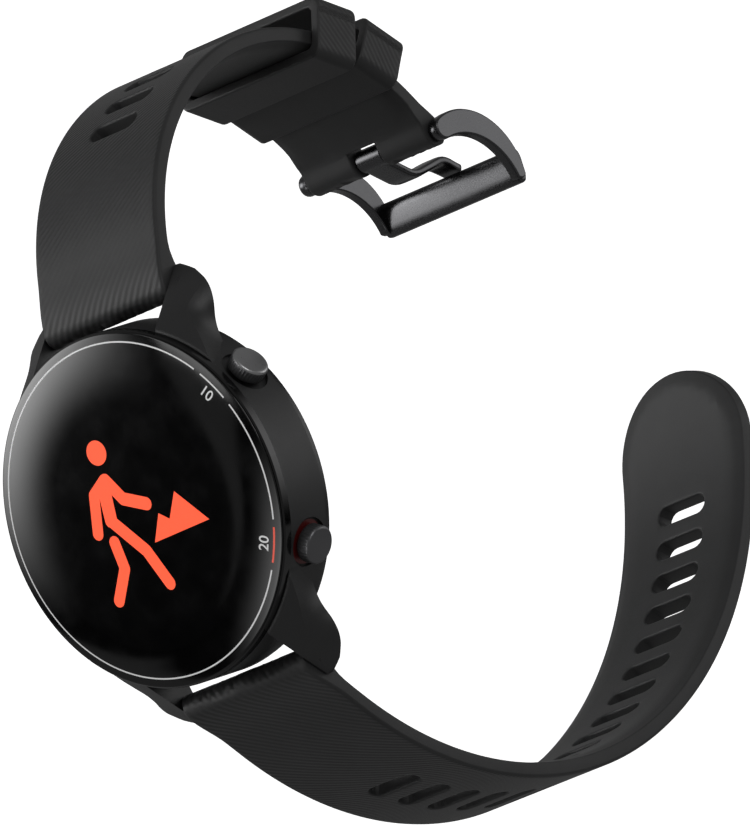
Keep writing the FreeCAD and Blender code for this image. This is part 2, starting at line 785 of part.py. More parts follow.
# ---------------------------------------------------------------- spring bars
def spring_bar(name, side):
    """One spring bar: tube, coil and the two tips that reach into the lugs."""
    axis = Vector(0, side * number("bar_y"), number("bar_height"))
    radius = number("bar_radius")
    half = number("tube_end")
    tip_end = number("lug_gap") + 0.8
    tube = crossways(radius, half, axis).cut([
        crossways(radius - 0.2, half - 0.4, axis), crossways(radius - 0.34, half + 1, axis)])
    keep(f"{name}_bar_tube", feature(tube))
    flange_end = half - 0.45
    for hand, sign in (("right", 1), ("left", -1)):
        shaft = Part.makeCylinder(radius - 0.38, tip_end - flange_end + 1,
                                  axis + Vector(sign * (flange_end - 1), 0, 0), Vector(sign, 0, 0))
        flange = Part.makeCylinder(radius - 0.25, 1.1,
                                   axis + Vector(sign * (flange_end - 1.1), 0, 0),
                                   Vector(sign, 0, 0))
        keep(f"{name}_bar_{hand}_tip", feature(shaft.fuse(flange)))
    reach = flange_end - 1.15
    spine = Part.makeHelix(0.8, 2 * reach, radius - 0.38)
    start = Vector(radius - 0.38, 0, 0)
    wire = Part.Wire(Part.makeCircle(0.09, start, Vector(0, 1, 0)))
    coil = Part.Wire(spine).makePipeShell([wire], True, True)
    coil.Placement = Placement(axis - Vector(reach, 0, 0), Rotation(Vector(0, 1, 0), 90))
    keep(f"{name}_bar_coil", feature(coil))


# ---------------------------------------------------------------- keeper and buckle
# Buckle sizes in its own coordinates: forward from the pin, and up away from the wrist.
BUCKLE_EYE_WALL = 0.55
CRESCENT_RISE = 4.6
CRESCENT_HOLLOW = 1.3
CRESCENT_TOE = (1.6, -0.6)
CRESCENT_HEEL = (0.3, -1.6)
BAR_DEPTH = 4.6
BAR_THICKNESS = 1.7
BAR_SPOT = (0.65, 0.35)
BAR_TURN = -61.5
BAR_EDGE_ROUND = 0.5
BAR_SET_BACK = 0.4
PIN_SET_BACK = 0.6
TONGUE_EYE_WALL = 0.65
TONGUE_THICKNESS = 1.2
TONGUE_DROP = 0.95
TONGUE_RISE = 42.0
TONGUE_BEND = 3.2
TONGUE_BEND_LENGTH = 2.35
TONGUE_STRAIGHTS = (4.2, 4.2, 2.4)


def free_keeper():
    """The keeper that slides along the buckle strap."""
    return keep("free_keeper",
                feature(keeper(upper_path(), number("free_keeper_place"), number("free_gap"))))


def buckle_arm(x):
    """One crescent arm with its eye round the pin, in buckle coordinates from x."""
    reach = number("buckle_reach")
    thick = number("buckle_arm")
    eye = number("pin_radius") + BUCKLE_EYE_WALL
    back = Vector(x, -eye * 0.7, eye * 0.75)
    front = Vector(x, eye * 0.7, -eye * 0.75)
    toe = Vector(x, reach + CRESCENT_TOE[0], CRESCENT_TOE[1])
    heel = Vector(x, reach + CRESCENT_HEEL[0], CRESCENT_HEEL[1])
    outer = Part.Arc(back, Vector(x, reach * 0.52, CRESCENT_RISE), toe)
    inner = Part.Arc(heel, Vector(x, reach * 0.55, CRESCENT_HOLLOW), front)
    edges = [outer.toShape(), Part.LineSegment(toe, heel).toShape(),
             inner.toShape(), Part.LineSegment(front, back).toShape()]
    arm = Part.Face(Part.Wire(edges)).extrude(Vector(thick, 0, 0))
    return arm.fuse(Part.makeCylinder(eye, thick, Vector(x, 0, 0), Vector(1, 0, 0)))


def rounded_bar(width, depth, thick):
    """The buckle's flat bar in local coordinates, its long edges rounded."""
    solid = block(width, -depth / 2, depth / 2, -thick / 2, thick / 2)
    edges = [edge for edge in solid.Edges if edge.BoundBox.XLength > width * 0.9]
    return solid.makeFillet(BAR_EDGE_ROUND, edges)


def tongue_blade():
    """The S-shaped blade of the tongue, from under the pin to its tip on the bar."""
    first, middle, last = TONGUE_STRAIGHTS
    path = [(Vector(0, 0, -TONGUE_DROP), 0.0, first, 0.0)]
    for turn, length, bend in ((0.0, TONGUE_BEND_LENGTH, -TONGUE_BEND), (TONGUE_RISE, middle, 0.0),
                               (TONGUE_RISE, TONGUE_BEND_LENGTH, TONGUE_BEND), (0.0, last, 0.0)):
        start = along(path, path_length(path))[0]
        path.append((start, turn, length, bend))
    half = TONGUE_THICKNESS / 2
    return ribbon(path, 0, path_length(path), -half, half, number("tongue_width"))


def buckle():
    """Frame with its pin, and the tongue round the pin."""
    pin = along(upper_path(), path_length(upper_path()))[0]
    heading = number("buckle_heading")
    inside = number("strap_width") / 2 + number("free_gap")
    outside = number("pin_half")
    radius = number("pin_radius")
    plate = rounded_bar(2 * (outside - BAR_SET_BACK), BAR_DEPTH, BAR_THICKNESS)
    spot = Vector(0, number("buckle_reach") + BAR_SPOT[0], BAR_SPOT[1])
    frame = beside(plate, spot, BAR_TURN).fuse([buckle_arm(inside), buckle_arm(-outside)])
    frame = frame.cut(crossways(radius, outside - PIN_SET_BACK, Vector()))
    keep("buckle_frame", feature(beside(frame, pin, heading)))
    keep("buckle_pin", feature(crossways(radius, outside - PIN_SET_BACK, pin)))
    width = number("tongue_width")
    tongue = tongue_blade().fuse(crossways(radius + TONGUE_EYE_WALL, width / 2, Vector()))
    tongue = tongue.cut(crossways(radius + number("running_gap"), width, Vector()))
    keep("buckle_tongue", feature(beside(tongue, pin, heading)))


# ---------------------------------------------------------------- assembly
case_body()
bezel_ring()
display_stack()
inner_frame()
electronics()
back_parts()
push_button("home", 1)
push_button("sport", -1)
accent = [("recess_floor", "stem_radius + 0.9"), ("recess_floor + 0.15", "stem_radius + 0.9"),
          ("recess_floor + 0.15", "recess_radius - 0.3"), ("recess_floor", "recess_radius - 0.3")]
keep("sport_accent_ring", about_key(turned(accent, "H_Axis"), -1, "0"))
upper_strap()
lower_strap()
spring_bar("upper", 1)
spring_bar("lower", -1)
free_keeper()
buckle()

doc.removeObject(probe.Name)
doc.recompute()

for item in doc.Objects:
    if "Invalid" in item.State or "Error" in item.State:
        raise RuntimeError(f"{item.Label} ({item.Name}) failed: {item.State}")
for item in nodes:
    if item.Shape.isNull() or not item.Shape.isValid():
        raise RuntimeError(f"{item.Label} has no valid shape")
    if item.Shape.Volume <= 0:
        raise RuntimeError(f"{item.Label} has no volume")

for item in nodes:
    item.Shape.exportStep(f"parts/{item.Label}.step")
print(len(nodes), "sub-parts written")
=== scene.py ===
import json
import math

import bmesh
import bpy
from mathutils import Matrix, Vector
from mathutils.geometry import delaunay_2d_cdt


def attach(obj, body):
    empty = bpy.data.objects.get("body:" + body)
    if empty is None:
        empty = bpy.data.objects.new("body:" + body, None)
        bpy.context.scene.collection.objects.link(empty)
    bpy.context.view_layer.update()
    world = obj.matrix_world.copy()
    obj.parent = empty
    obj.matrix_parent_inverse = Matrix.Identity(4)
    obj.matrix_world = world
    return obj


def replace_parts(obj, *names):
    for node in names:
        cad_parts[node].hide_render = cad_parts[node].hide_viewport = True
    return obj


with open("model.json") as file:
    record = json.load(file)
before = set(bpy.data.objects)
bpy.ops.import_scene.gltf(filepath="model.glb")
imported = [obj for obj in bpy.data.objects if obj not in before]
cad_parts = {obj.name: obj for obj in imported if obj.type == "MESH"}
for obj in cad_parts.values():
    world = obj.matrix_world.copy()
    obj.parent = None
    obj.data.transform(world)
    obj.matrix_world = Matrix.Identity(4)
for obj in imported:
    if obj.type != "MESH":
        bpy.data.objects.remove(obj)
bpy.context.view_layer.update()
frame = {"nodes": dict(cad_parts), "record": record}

# A round sports watch on its open silicone strap. Metres, in the CAD frame: +X towards the
# buttons, +Y towards twelve o'clock, +Z out of the display. Lengths below are millimetres.
MM = 0.001
nodes = frame["nodes"]
scene = bpy.context.scene
scene.view_settings.view_transform = "Standard"

# ------------------------------------------------------------------ sizes, as in the CAD
BAR_Y, BAR_Z = 25.2, 2.6                # the upper spring bar; the lower one mirrors it
HALF_WIDTH, HALF_THICK = 11.0, 1.25
ROOT = 1.9                              # radius of a strap's end round its spring bar
SLOT_LENGTH, SLOT_WIDTH = 8.2, 2.6
SLOT_START, SLOT_PITCH = 25.6, 5.15
# Heading in degrees at the spring bar, then runs of length and bend radius; 0.0 is straight.
UPPER = (-8.0, [(39.9, 31.2), (38.8, 29.4)])
LOWER = (-43.1, [(9.0, 0.0), (57.4, 52.4), (60.7, 55.5)])
FREE_KEEPER, FIXED_KEEPER = 58.4, 66.0  # places along the upper strap
KEEPER_HALF, KEEPER_WALL = 3.4, 1.4     # half its length along the strap, and its wall
KEEPER_ROOM = 2.9                       # for the lower strap to pass through
PIN_EYE = 1.9                           # radius of the strap's end round the buckle pin
NOTCH_HALF, NOTCH_DEPTH = 2.5, 2.3      # in the strap's end, for the tongue
GLASS_TOP, GLASS_FOOT = 11.5, 10.6
GLASS_RADIUS, GLASS_BROW = 22.8, 22.6   # the glass's side, and where its face begins
GLASS_FLAT, GLASS_FALL = 13.5, 0.72     # radius of its level middle, and its fall at the brow
MARK_HEIGHT = 0.012                     # of the dial marks on the glass
GAP = 0.3


# ------------------------------------------------------------------ materials
def shader(name, colour, rough, metal=0.0):
    """A node material, its Principled shader, and a helper that adds and links nodes."""
    made = bpy.data.materials.new(name)
    made.use_nodes = True
    tree = made.node_tree
    principled = tree.nodes["Principled BSDF"]
    principled.inputs["Base Color"].default_value = (*colour, 1.0)
    principled.inputs["Roughness"].default_value = rough
    principled.inputs["Metallic"].default_value = metal

    def add(kind, inputs=None, **settings):
        node = tree.nodes.new(f"ShaderNode{kind}")
        for key, value in settings.items():
            setattr(node, key, value)
        for key, value in (inputs or {}).items():
            if isinstance(value, bpy.types.NodeSocket):
                tree.links.new(value, node.inputs[key])
            else:
                node.inputs[key].default_value = value
        return node

    return made, principled, add, tree.links.new


def grain(add, scale, detail=4.0, stretch=(1.0, 1.0, 1.0)):
    """A noise over the object's own coordinates; scale is in cells per millimetre."""
    place = add("TexCoord").outputs["Object"]
    sized = add("Mapping", {"Vector": place, "Scale": stretch})
    return add("TexNoise", {"Vector": sized.outputs[0], "Scale": scale / MM, "Detail": detail,
                            "Roughness": 0.6}).outputs["Fac"]


def blend_colours(add, factor, dark, light):
    """A mix of two colours by another node's value."""
    return add("Mix", {"Factor": factor, 6: (*dark, 1.0), 7: (*light, 1.0)},
               data_type="RGBA").outputs[2]


def ranged(add, value, low, high, start=0.3, end=0.7):
    """A value between start and end moved to the range low to high."""
    return add("MapRange", {"Value": value, "From Min": start, "From Max": end,
                            "To Min": low, "To Max": high}).outputs["Result"]


def textured(name, colour, rough, metal=0.0, spread=0.25, cells=2.2, bump=0.02, coarse=0.12,
             stretch=(1.0, 1.0, 1.0)):
    """A surface with fine grain, slow tone changes and uneven gloss."""
    made, principled, add, link = shader(name, colour, rough, metal)
    fine = grain(add, cells, stretch=stretch)
    slow = grain(add, coarse, detail=3.0)
    dark = tuple(part * (1.0 - spread) for part in colour)
    light = tuple(min(1.0, part * (1.0 + spread)) for part in colour)
    link(blend_colours(add, ranged(add, slow, 0.0, 1.0), dark, light),
         principled.inputs["Base Color"])
    uneven = add("Math", {0: ranged(add, fine, -0.05, 0.05), 1: ranged(add, slow, -0.04, 0.04)},
                 operation="ADD").outputs[0]
    total = add("Math", {0: uneven, 1: rough}, operation="ADD", use_clamp=True).outputs[0]
    link(total, principled.inputs["Roughness"])
    relief = add("Bump", {"Height": fine, "Strength": 0.6, "Distance": bump * MM})
    link(relief.outputs[0], principled.inputs["Normal"])
    return made


def ribbed(name, colour, rough):
    """Silicone with fine moulded ribs where the mesh asks for them, their grooves darkened with
    painted shade.
    """
    made, principled, add, link = shader(name, colour, rough)
    phase = add("Attribute", attribute_name="rib").outputs["Fac"]
    mask = add("Attribute", attribute_name="rib_mask").outputs["Fac"]
    turn = add("Math", {0: phase, 1: 2 * math.pi}, operation="MULTIPLY").outputs[0]
    wave = add("Math", {0: turn}, operation="SINE").outputs[0]
    lifted = ranged(add, wave, 0.0, 1.0, -1.0, 1.0)
    height = add("Math", {0: lifted, 1: mask}, operation="MULTIPLY").outputs[0]
    fine = grain(add, 7.0)
    slow = grain(add, 0.09, detail=3.0)
    body = blend_colours(add, ranged(add, slow, 0.0, 1.0), tuple(0.8 * part for part in colour),
                         tuple(1.2 * part for part in colour))
    # painted shade: the grooves between the ribs are darkened to 0.78 of the colour, the crests
    # keep it
    groove = add("Math", {0: height, 1: mask}, operation="SUBTRACT").outputs[0]
    shade = ranged(add, groove, 0.78, 1.0, -1.0, 0.0)
    tone = add("Mix", {"Factor": 1.0, 6: body, 7: shade}, data_type="RGBA",
               blend_type="MULTIPLY")
    link(tone.outputs[2], principled.inputs["Base Color"])
    link(ranged(add, fine, rough - 0.06, rough + 0.06), principled.inputs["Roughness"])
    first = add("Bump", {"Height": height, "Strength": 0.7, "Distance": 0.06 * MM})
    second = add("Bump", {"Height": fine, "Strength": 0.35, "Distance": 0.012 * MM,
                          "Normal": first.outputs[0]})
    link(second.outputs[0], principled.inputs["Normal"])
    principled.inputs["Specular IOR Level"].default_value = 0.42
    principled.inputs["Sheen Weight"].default_value = 0.08
    principled.inputs["Sheen Roughness"].default_value = 0.5
    return made


def glass_over_black():
    """Polished cover glass over a black panel, the active area a shade lighter."""
    made, principled, add, link = shader("glass_over_black", (0.003, 0.003, 0.0035), 0.08)
    place = add("TexCoord").outputs["Object"]
    flat = add("Mapping", {"Vector": place, "Scale": (1.0, 1.0, 0.0)}).outputs[0]
    radius = add("VectorMath", {0: flat}, operation="LENGTH").outputs["Value"]
    inside = ranged(add, radius, 1.0, 0.0, 17.9 * MM, 18.05 * MM)
    link(blend_colours(add, inside, (0.0024, 0.0024, 0.0026), (0.0034, 0.0034, 0.0037)),
         principled.inputs["Base Color"])
    haze = grain(add, 0.25, detail=5.0)
    link(ranged(add, haze, 0.07, 0.13), principled.inputs["Roughness"])
    principled.inputs["Specular IOR Level"].default_value = 0.5
    return made


def lit(name, colour, strength):
    """A glowing mark on the dial, with a very slight mottle: a display mark lit by the display,
    or a printed mark with a painted glow.
    """
    made, principled, add, link = shader(name, colour, 0.3)
    speck = grain(add, 3.0)
    toned = blend_colours(add, ranged(add, speck, 0.0, 1.0),
                          tuple(0.96 * part for part in colour), colour)
    link(toned, principled.inputs["Base Color"])
    # emission: the orange display figure's own light; on the printed white and coral marks it is
    # a painted glow
    link(toned, principled.inputs["Emission Color"])
    principled.inputs["Emission Strength"].default_value = strength
    return made


paint = {
    "case_plastic": textured("case_plastic", (0.018, 0.018, 0.0185), 0.46, spread=0.12, cells=6.0,
                             bump=0.012),
    "bezel_black": textured("bezel_black", (0.0015, 0.0015, 0.0016), 0.12, spread=0.2, cells=3.0,
                            bump=0.001),
    "cover_glass": glass_over_black(),
    "adhesive": textured("adhesive", (0.02, 0.02, 0.02), 0.7),
    "display": textured("display_dark", (0.004, 0.004, 0.005), 0.15, bump=0.001),
    "foam": textured("foam", (0.05, 0.05, 0.05), 0.95, cells=5.0, bump=0.1),
    "flex": textured("flex_film", (0.5, 0.24, 0.04), 0.3, spread=0.1),
    "frame_plastic": textured("frame_plastic", (0.09, 0.09, 0.10), 0.5),
    "board_green": textured("solder_mask", (0.02, 0.13, 0.06), 0.35, cells=1.2, bump=0.02),
    "shield_steel": textured("tinned_sheet", (0.55, 0.55, 0.56), 0.32, 1.0, stretch=(1, 12, 1)),
    "module_ceramic": textured("module_ceramic", (0.5, 0.46, 0.35), 0.45),
    "battery_foil": textured("battery_foil", (0.5, 0.5, 0.52), 0.36, 1.0, cells=0.8, bump=0.05),
    "motor_steel": textured("motor_steel", (0.5, 0.5, 0.5), 0.3, 1.0, stretch=(1, 1, 10)),
    "antenna_copper": textured("antenna_copper", (0.65, 0.32, 0.18), 0.3, 1.0),
    "cover_plastic": textured("cover_plastic", (0.014, 0.014, 0.015), 0.3, spread=0.15, cells=5.0,
                              bump=0.006),
    "gasket_silicone": textured("gasket_silicone", (0.1, 0.1, 0.11), 0.6),
    "screw_steel": textured("screw_steel", (0.25, 0.25, 0.26), 0.35, 1.0, stretch=(1, 8, 1)),
    "sensor_glass": textured("sensor_glass", (0.008, 0.010, 0.010), 0.08, spread=0.4, cells=0.6,
                             bump=0.001),
    "sensor_chip": textured("sensor_dies", (0.03, 0.20, 0.07), 0.25, spread=0.5, cells=1.2),
    "contact_gold": textured("contact_gold", (0.83, 0.6, 0.25), 0.22, 1.0, cells=3.0, bump=0.004),
    "key_metal": textured("key_metal", (0.135, 0.135, 0.14), 0.38, 0.85, spread=0.08, cells=5.0,
                          bump=0.006),
    "clip_steel": textured("clip_steel", (0.5, 0.5, 0.5), 0.3, 1.0),
    "seal_silicone": textured("seal_silicone", (0.30, 0.05, 0.04), 0.55),
    "switch_plastic": textured("switch_plastic", (0.07, 0.07, 0.08), 0.45),
    "accent_red": textured("accent_red", (0.11, 0.006, 0.005), 0.4, spread=0.15),
    "strap_silicone": ribbed("strap_silicone", (0.022, 0.022, 0.0225), 0.55),
    "bar_steel": textured("bar_steel", (0.55, 0.55, 0.56), 0.28, 1.0, stretch=(1, 10, 10)),
    "spring_steel": textured("spring_steel", (0.5, 0.5, 0.5), 0.3, 1.0),
    "buckle_metal": textured("buckle_metal", (0.085, 0.085, 0.088), 0.27, 1.0, spread=0.06,
                             cells=5.0, bump=0.0006),
}
slot_of = {part["node"]: part["material_slot"] for part in frame["record"]["subparts"]}
for name, item in nodes.items():
    item.data.materials.clear()
    item.data.materials.append(paint[slot_of[name]])


# ------------------------------------------------------------------ mesh helpers
def make_piece(name, points, faces, slot, body, smooth=True, values=None, weld=0.0, look=None):
    """A mesh object from millimetre points, riding on a body, painted as its slot."""
    mesh = bpy.data.meshes.new(name)
    mesh.from_pydata([Vector(point) * MM for point in points], [], faces)
    for key, amounts in (values or {}).items():
        mesh.attributes.new(key, "FLOAT", "POINT").data.foreach_set("value", amounts)
    made = bmesh.new()
    made.from_mesh(mesh)
    if weld:
        bmesh.ops.remove_doubles(made, verts=made.verts, dist=weld * MM)
        bmesh.ops.dissolve_degenerate(made, dist=weld * MM * 0.5, edges=made.edges)
    bmesh.ops.recalc_face_normals(made, faces=made.faces)
    made.to_mesh(mesh)
    made.free()
    mesh.materials.append(look or paint[slot])
    if smooth:
        mesh.shade_smooth()
    item = bpy.data.objects.new(name, mesh)
    scene.collection.objects.link(item)
    if smooth:
        weigh = item.modifiers.new("weigh", "WEIGHTED_NORMAL")
        weigh.weight = 50
        weigh.keep_sharp = True
    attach(item, body)
    return item


def chain(points, edges, line, closed):
    """Adds a line of points and the edges that join them."""
    start = len(points)
    points.extend(line)
    last = len(points) - 1
    edges.extend((index, index + 1) for index in range(start, last))
    if closed:
        edges.append((last, start))


def triangulate(points, edges, wanted, tolerance):
    """The plane triangles on points and edges whose middle is wanted, and their points."""
    done = delaunay_2d_cdt([Vector(point) for point in points], edges, [], 0, tolerance)
    flat = done[0]
    kept = [corners for corners in done[2]
            if wanted(sum((flat[index] for index in corners), Vector((0, 0))) / 3)]
    used = sorted({index for corners in kept for index in corners})
    order = {index: place for place, index in enumerate(used)}
    triangles = [tuple(order[index] for index in corners) for corners in kept]
    return [flat[index] for index in used], triangles


def two_skins(triangles, count):
    """Faces of a closed sheet: count points on its upper side, then as many on its lower."""
    tally = {}
    for corners in triangles:
        for a, b in zip(corners, corners[1:] + corners[:1]):
            tally.setdefault(frozenset((a, b)), []).append((a, b))
    border = [pairs[0] for pairs in tally.values() if len(pairs) == 1]
    under = [tuple(index + count for index in reversed(corners)) for corners in triangles]
    return triangles + under + [(b, a, a + count, b + count) for a, b in border]


def ring_faces(rings, size, closed=False):
    """Faces between rings of equally many points, which are numbered ring after ring."""
    faces = []
    for ring in range(rings if closed else rings - 1):
        other = (ring + 1) % rings
        for step in range(size):
            following = (step + 1) % size
            faces.append((ring * size + step, ring * size + following,
                          other * size + following, other * size + step))
    return faces


def along(path, distance):
    """Point (y, z) and heading at a distance along a strap's mid-line."""
    heading, runs = path
    y, z = BAR_Y, BAR_Z
    angle = math.radians(heading)
    for index, (length, bend) in enumerate(runs):
        step = min(distance, length) if index < len(runs) - 1 else distance
        if bend:
            turn = step / bend
            forward, side = bend * math.sin(turn), bend * (1 - math.cos(turn))
        else:
            turn, forward, side = 0.0, step, 0.0
        y += math.cos(angle) * forward + math.sin(angle) * side
        z += math.sin(angle) * forward - math.cos(angle) * side
        angle -= turn
        distance -= step
        if distance <= 0:
            break
    return y, z, angle


def path_point(path, across, distance, offset, mirror=1):
    """A row-frame point from strap coordinates: across, along and outwards."""
    y, z, angle = along(path, max(distance, 0.0))
    if distance < 0:
        y += math.cos(angle) * distance
        z += math.sin(angle) * distance
    return (across, mirror * (y - math.sin(angle) * offset), z + math.cos(angle) * offset)


def local_point(path, place, across, forward, offset):
    """A row-frame point from the straight local axes at a place on a path."""
    y, z, angle = along(path, place)
    return (across, y + math.cos(angle) * forward - math.sin(angle) * offset,
            z + math.sin(angle) * forward + math.cos(angle) * offset)


def rounding(distance, radius):
    """How far a rounded edge falls at a distance from the side."""
    if distance >= radius or radius <= 0:
        return 0.0
    return radius - math.sqrt(radius * radius - (radius - distance) ** 2)


def ease(value, start, end):
    """0 before start, 1 after end, smooth between."""
    t = min(1.0, max(0.0, (value - start) / (end - start)))
    return t * t * (3 - 2 * t)


# ------------------------------------------------------------------ straps
RIB_PITCH = 1.15
RIB_STEP = 0.5                          # step in which a rib's drift across is added up
# Distance along a strap, and the ribs' angle to it in degrees.
RIB_ANGLES = [(0.0, 58.0), (6.0, 45.0), (15.0, 38.0), (30.0, 30.0), (200.0, 28.0)]
RIB_FADE_EDGE, RIB_FADE_SLOT, RIB_FADE_ROOT = (0.15, 0.5), (0.1, 0.4), (0.2, 0.8)

OUTER_EDGE, INNER_EDGE, SLOT_EDGE = 0.45, 0.2, 0.34     # radii of the rounded edges
EDGE_SHARE = 0.6                        # most of the half thickness that an edge may take
BEVEL_DEPTH, BEVEL_REACH, BEVEL_RUN = 0.5, 1.95, 1.75   # of the inner face, along the sides
BEVEL_ROOT, BEVEL_EYE = (1, 5), (6, 3)  # where it starts after the root and ends before the eye
ROOT_SWELL = 6.5                        # length over which the root thins to the plain strap
OUTER_SWELL, INNER_SWELL = 4.5, 3.0     # lengths over which it thickens to the pin's eye

# Distances from an edge that have a line of points, and angles on the rounded ends.
EDGE_RINGS = (0.0, 0.07, 0.2, 0.45, 1.1, 1.95)
NOTCH_RINGS_END = 1.5
SLOT_RINGS = (0.0, 0.06, 0.16, SLOT_EDGE)
ROOT_ANGLES = (0, 9, 18, 28, 39, 51, 64, 77)
EYE_ANGLES = (0, 13, 26, 39, 51, 62, 72, 81, 90)
ROW_PITCH, ACROSS_PITCH = 1.15, 1.5
FINE_RUN, FINE_START, FINE_PITCH, FINE_ROWS = 6.0, 3.6, 0.4, 9
END_STEPS = 12
SLOT_END_POINTS = 9
CLEAR_OF_EDGE, CLEAR_OF_SLOT = 2.2, 0.6
SLOT_REACH = (SLOT_LENGTH - SLOT_WIDTH) / 2


def rib_shift(distance):
    """How far across a rib has moved at a distance along the strap."""
    if distance < 0:
        slope = math.tan(math.radians(RIB_ANGLES[0][1]))
        return ROOT * math.asin(max(-1.0, distance / ROOT)) / slope
    shift, done = 0.0, 0.0
    while done < distance:
        part = min(RIB_STEP, distance - done)
        middle = done + part / 2
        for (start, low), (end, high) in zip(RIB_ANGLES, RIB_ANGLES[1:]):
            if middle <= end:
                angle = low + (high - low) * (middle - start) / (end - start)
                break
        shift += part / math.tan(math.radians(angle))
        done += part
    return shift


def slot_loop(place, grow):
    """A slot's outline grown by a distance."""
    radius = SLOT_WIDTH / 2 + grow
    loop = []
    for side in (1, -1):
        for index in range(SLOT_END_POINTS):
            angle = math.pi * index / (SLOT_END_POINTS - 1) - math.pi / 2
            loop.append((side * (SLOT_REACH + radius * math.cos(angle)),
                         place + side * radius * math.sin(angle)))
        loop += [(side * share * SLOT_REACH, place + side * radius)
                 for share in (0.5, 0.0, -0.5)]
    return loop


class FlatStrap:
    """A strap laid out flat: outline, slots and section, by distances across and along."""

    def __init__(self, path, slot_count, tip):
        self.tip = tip
        self.end = sum(length for length, _ in path[1])
        self.places = [SLOT_START + SLOT_PITCH * index for index in range(slot_count)]
        self.finish = self.end - HALF_WIDTH if tip else self.end + PIN_EYE
        self.notch = self.end - NOTCH_DEPTH
        self.rows = self.mesh_rows()

    def mesh_rows(self):
        """Distances along that have a row of points, closer together at the rounded ends."""
        rows = [-ROOT * math.cos(math.radians(angle)) for angle in ROOT_ANGLES] + [0.0]
        run = self.finish - (0 if self.tip else FINE_RUN)
        steps = round(run / ROW_PITCH)
        rows += [run * (index + 1) / steps for index in range(steps)]
        if not self.tip:
            rows += [self.end - FINE_START + FINE_PITCH * index for index in range(FINE_ROWS)]
            rows += [self.end + PIN_EYE * math.sin(math.radians(angle)) for angle in EYE_ANGLES]
        return sorted(set(round(row, 5) for row in rows))

    def thickness(self, distance):
        """How far the plain outer and inner faces lie from the mid-line."""
        if distance < 0:
            nose = math.sqrt(max(0.0, ROOT * ROOT - distance * distance))
            return nose, nose
        if not self.tip and distance > self.end:
            eye = math.sqrt(max(0.0, PIN_EYE ** 2 - (distance - self.end) ** 2))
            return eye, eye
        outer = HALF_THICK + (ROOT - HALF_THICK) * (1.0 - ease(distance, 0.0, ROOT_SWELL))
        inner = outer
        if not self.tip:
            outer += (PIN_EYE - HALF_THICK) * ease(distance, self.end - OUTER_SWELL, self.end)
            inner += (PIN_EYE - HALF_THICK) * ease(distance, self.end - INNER_SWELL, self.end)
        return outer, inner

    def edge_gap(self, across, distance):
        """Distance to the outline, not counting the slots."""
        gap = HALF_WIDTH - abs(across)
        if self.tip:
            if distance > self.finish:
                gap = HALF_WIDTH - math.hypot(across, distance - self.finish)
            return gap
        ahead, beside = self.notch - distance, abs(across) - NOTCH_HALF
        if ahead <= 0:
            return min(gap, beside)
        if beside <= 0:
            return min(gap, ahead)
        return min(gap, math.hypot(ahead, beside))

    def slot_gap(self, across, distance):
        """Distance to the nearest slot's wall, negative inside."""
        beyond = max(0.0, abs(across) - SLOT_REACH)
        return min(math.hypot(beyond, distance - place) - SLOT_WIDTH / 2
                   for place in self.places)

    def edge_lines(self, ring):
        """Lines that follow the outline at a ring's distance inside it."""
        reach = HALF_WIDTH - ring
        side = [(reach, row) for row in self.rows if row <= self.finish + 1e-6]
        other = [(-across, row) for across, row in side]
        if self.tip:
            arc = [(reach * math.cos(math.radians(angle)),
                    self.finish + reach * math.sin(math.radians(angle)))
                   for angle in range(5, 176, 5)]
            return [side + arc + other[::-1]]
        if ring > NOTCH_RINGS_END:
            return [side, other]
        back = [(NOTCH_HALF + ring, row) for row in reversed(self.rows)
                if row > self.notch + 1e-6]
        bend = [(NOTCH_HALF + ring * math.cos(math.radians(angle)),
                 self.notch - ring * math.sin(math.radians(angle)))
                for angle in ((0, 30, 60, 90) if ring else (0,))]
        half = back + bend + [(NOTCH_HALF / 2, self.notch - ring)]
        middle = [(0.0, self.notch - ring)]
        return [side, other, half + middle + [(-across, row) for across, row in reversed(half)]]

    def end_lines(self):
        """Lines straight across the root, and across both sides of the notch."""
        spans = [(-HALF_WIDTH, HALF_WIDTH, self.rows[0])]
        if not self.tip:
            spans += [(-HALF_WIDTH, -NOTCH_HALF, self.rows[-1]),
                      (NOTCH_HALF, HALF_WIDTH, self.rows[-1])]
        return [[(low + (high - low) * index / END_STEPS, row) for index in range(END_STEPS + 1)]
                for low, high, row in spans]

    def inner_points(self):
        """A grid of points well inside the outline and clear of the slots."""
        more = [self.finish + ROW_PITCH * index for index in range(1, 9)] if self.tip else []
        return [(index * ACROSS_PITCH, row) for row in self.rows + more for index in range(-6, 7)
                if self.edge_gap(index * ACROSS_PITCH, row) > CLEAR_OF_EDGE
                and self.slot_gap(index * ACROSS_PITCH, row) > CLEAR_OF_SLOT]

    def holds(self, point):
        """Whether a point lies in the strap's rubber."""
        if point.y < self.rows[0] or not self.tip and point.y > self.finish:
            return False
        return self.edge_gap(*point) >= 0 and self.slot_gap(*point) >= 0

    def outer_face(self, across, distance):
        """Offset of the outer face from the mid-line, and how much its ribs show."""
        outer, _ = self.thickness(distance)
        gap = max(0.0, self.edge_gap(across, distance))
        hole = max(0.0, self.slot_gap(across, distance))
        offset = outer - rounding(gap, min(OUTER_EDGE, outer * EDGE_SHARE))
        offset -= rounding(hole, SLOT_EDGE)
        return offset, ease(gap, *RIB_FADE_EDGE) * ease(hole, *RIB_FADE_SLOT)

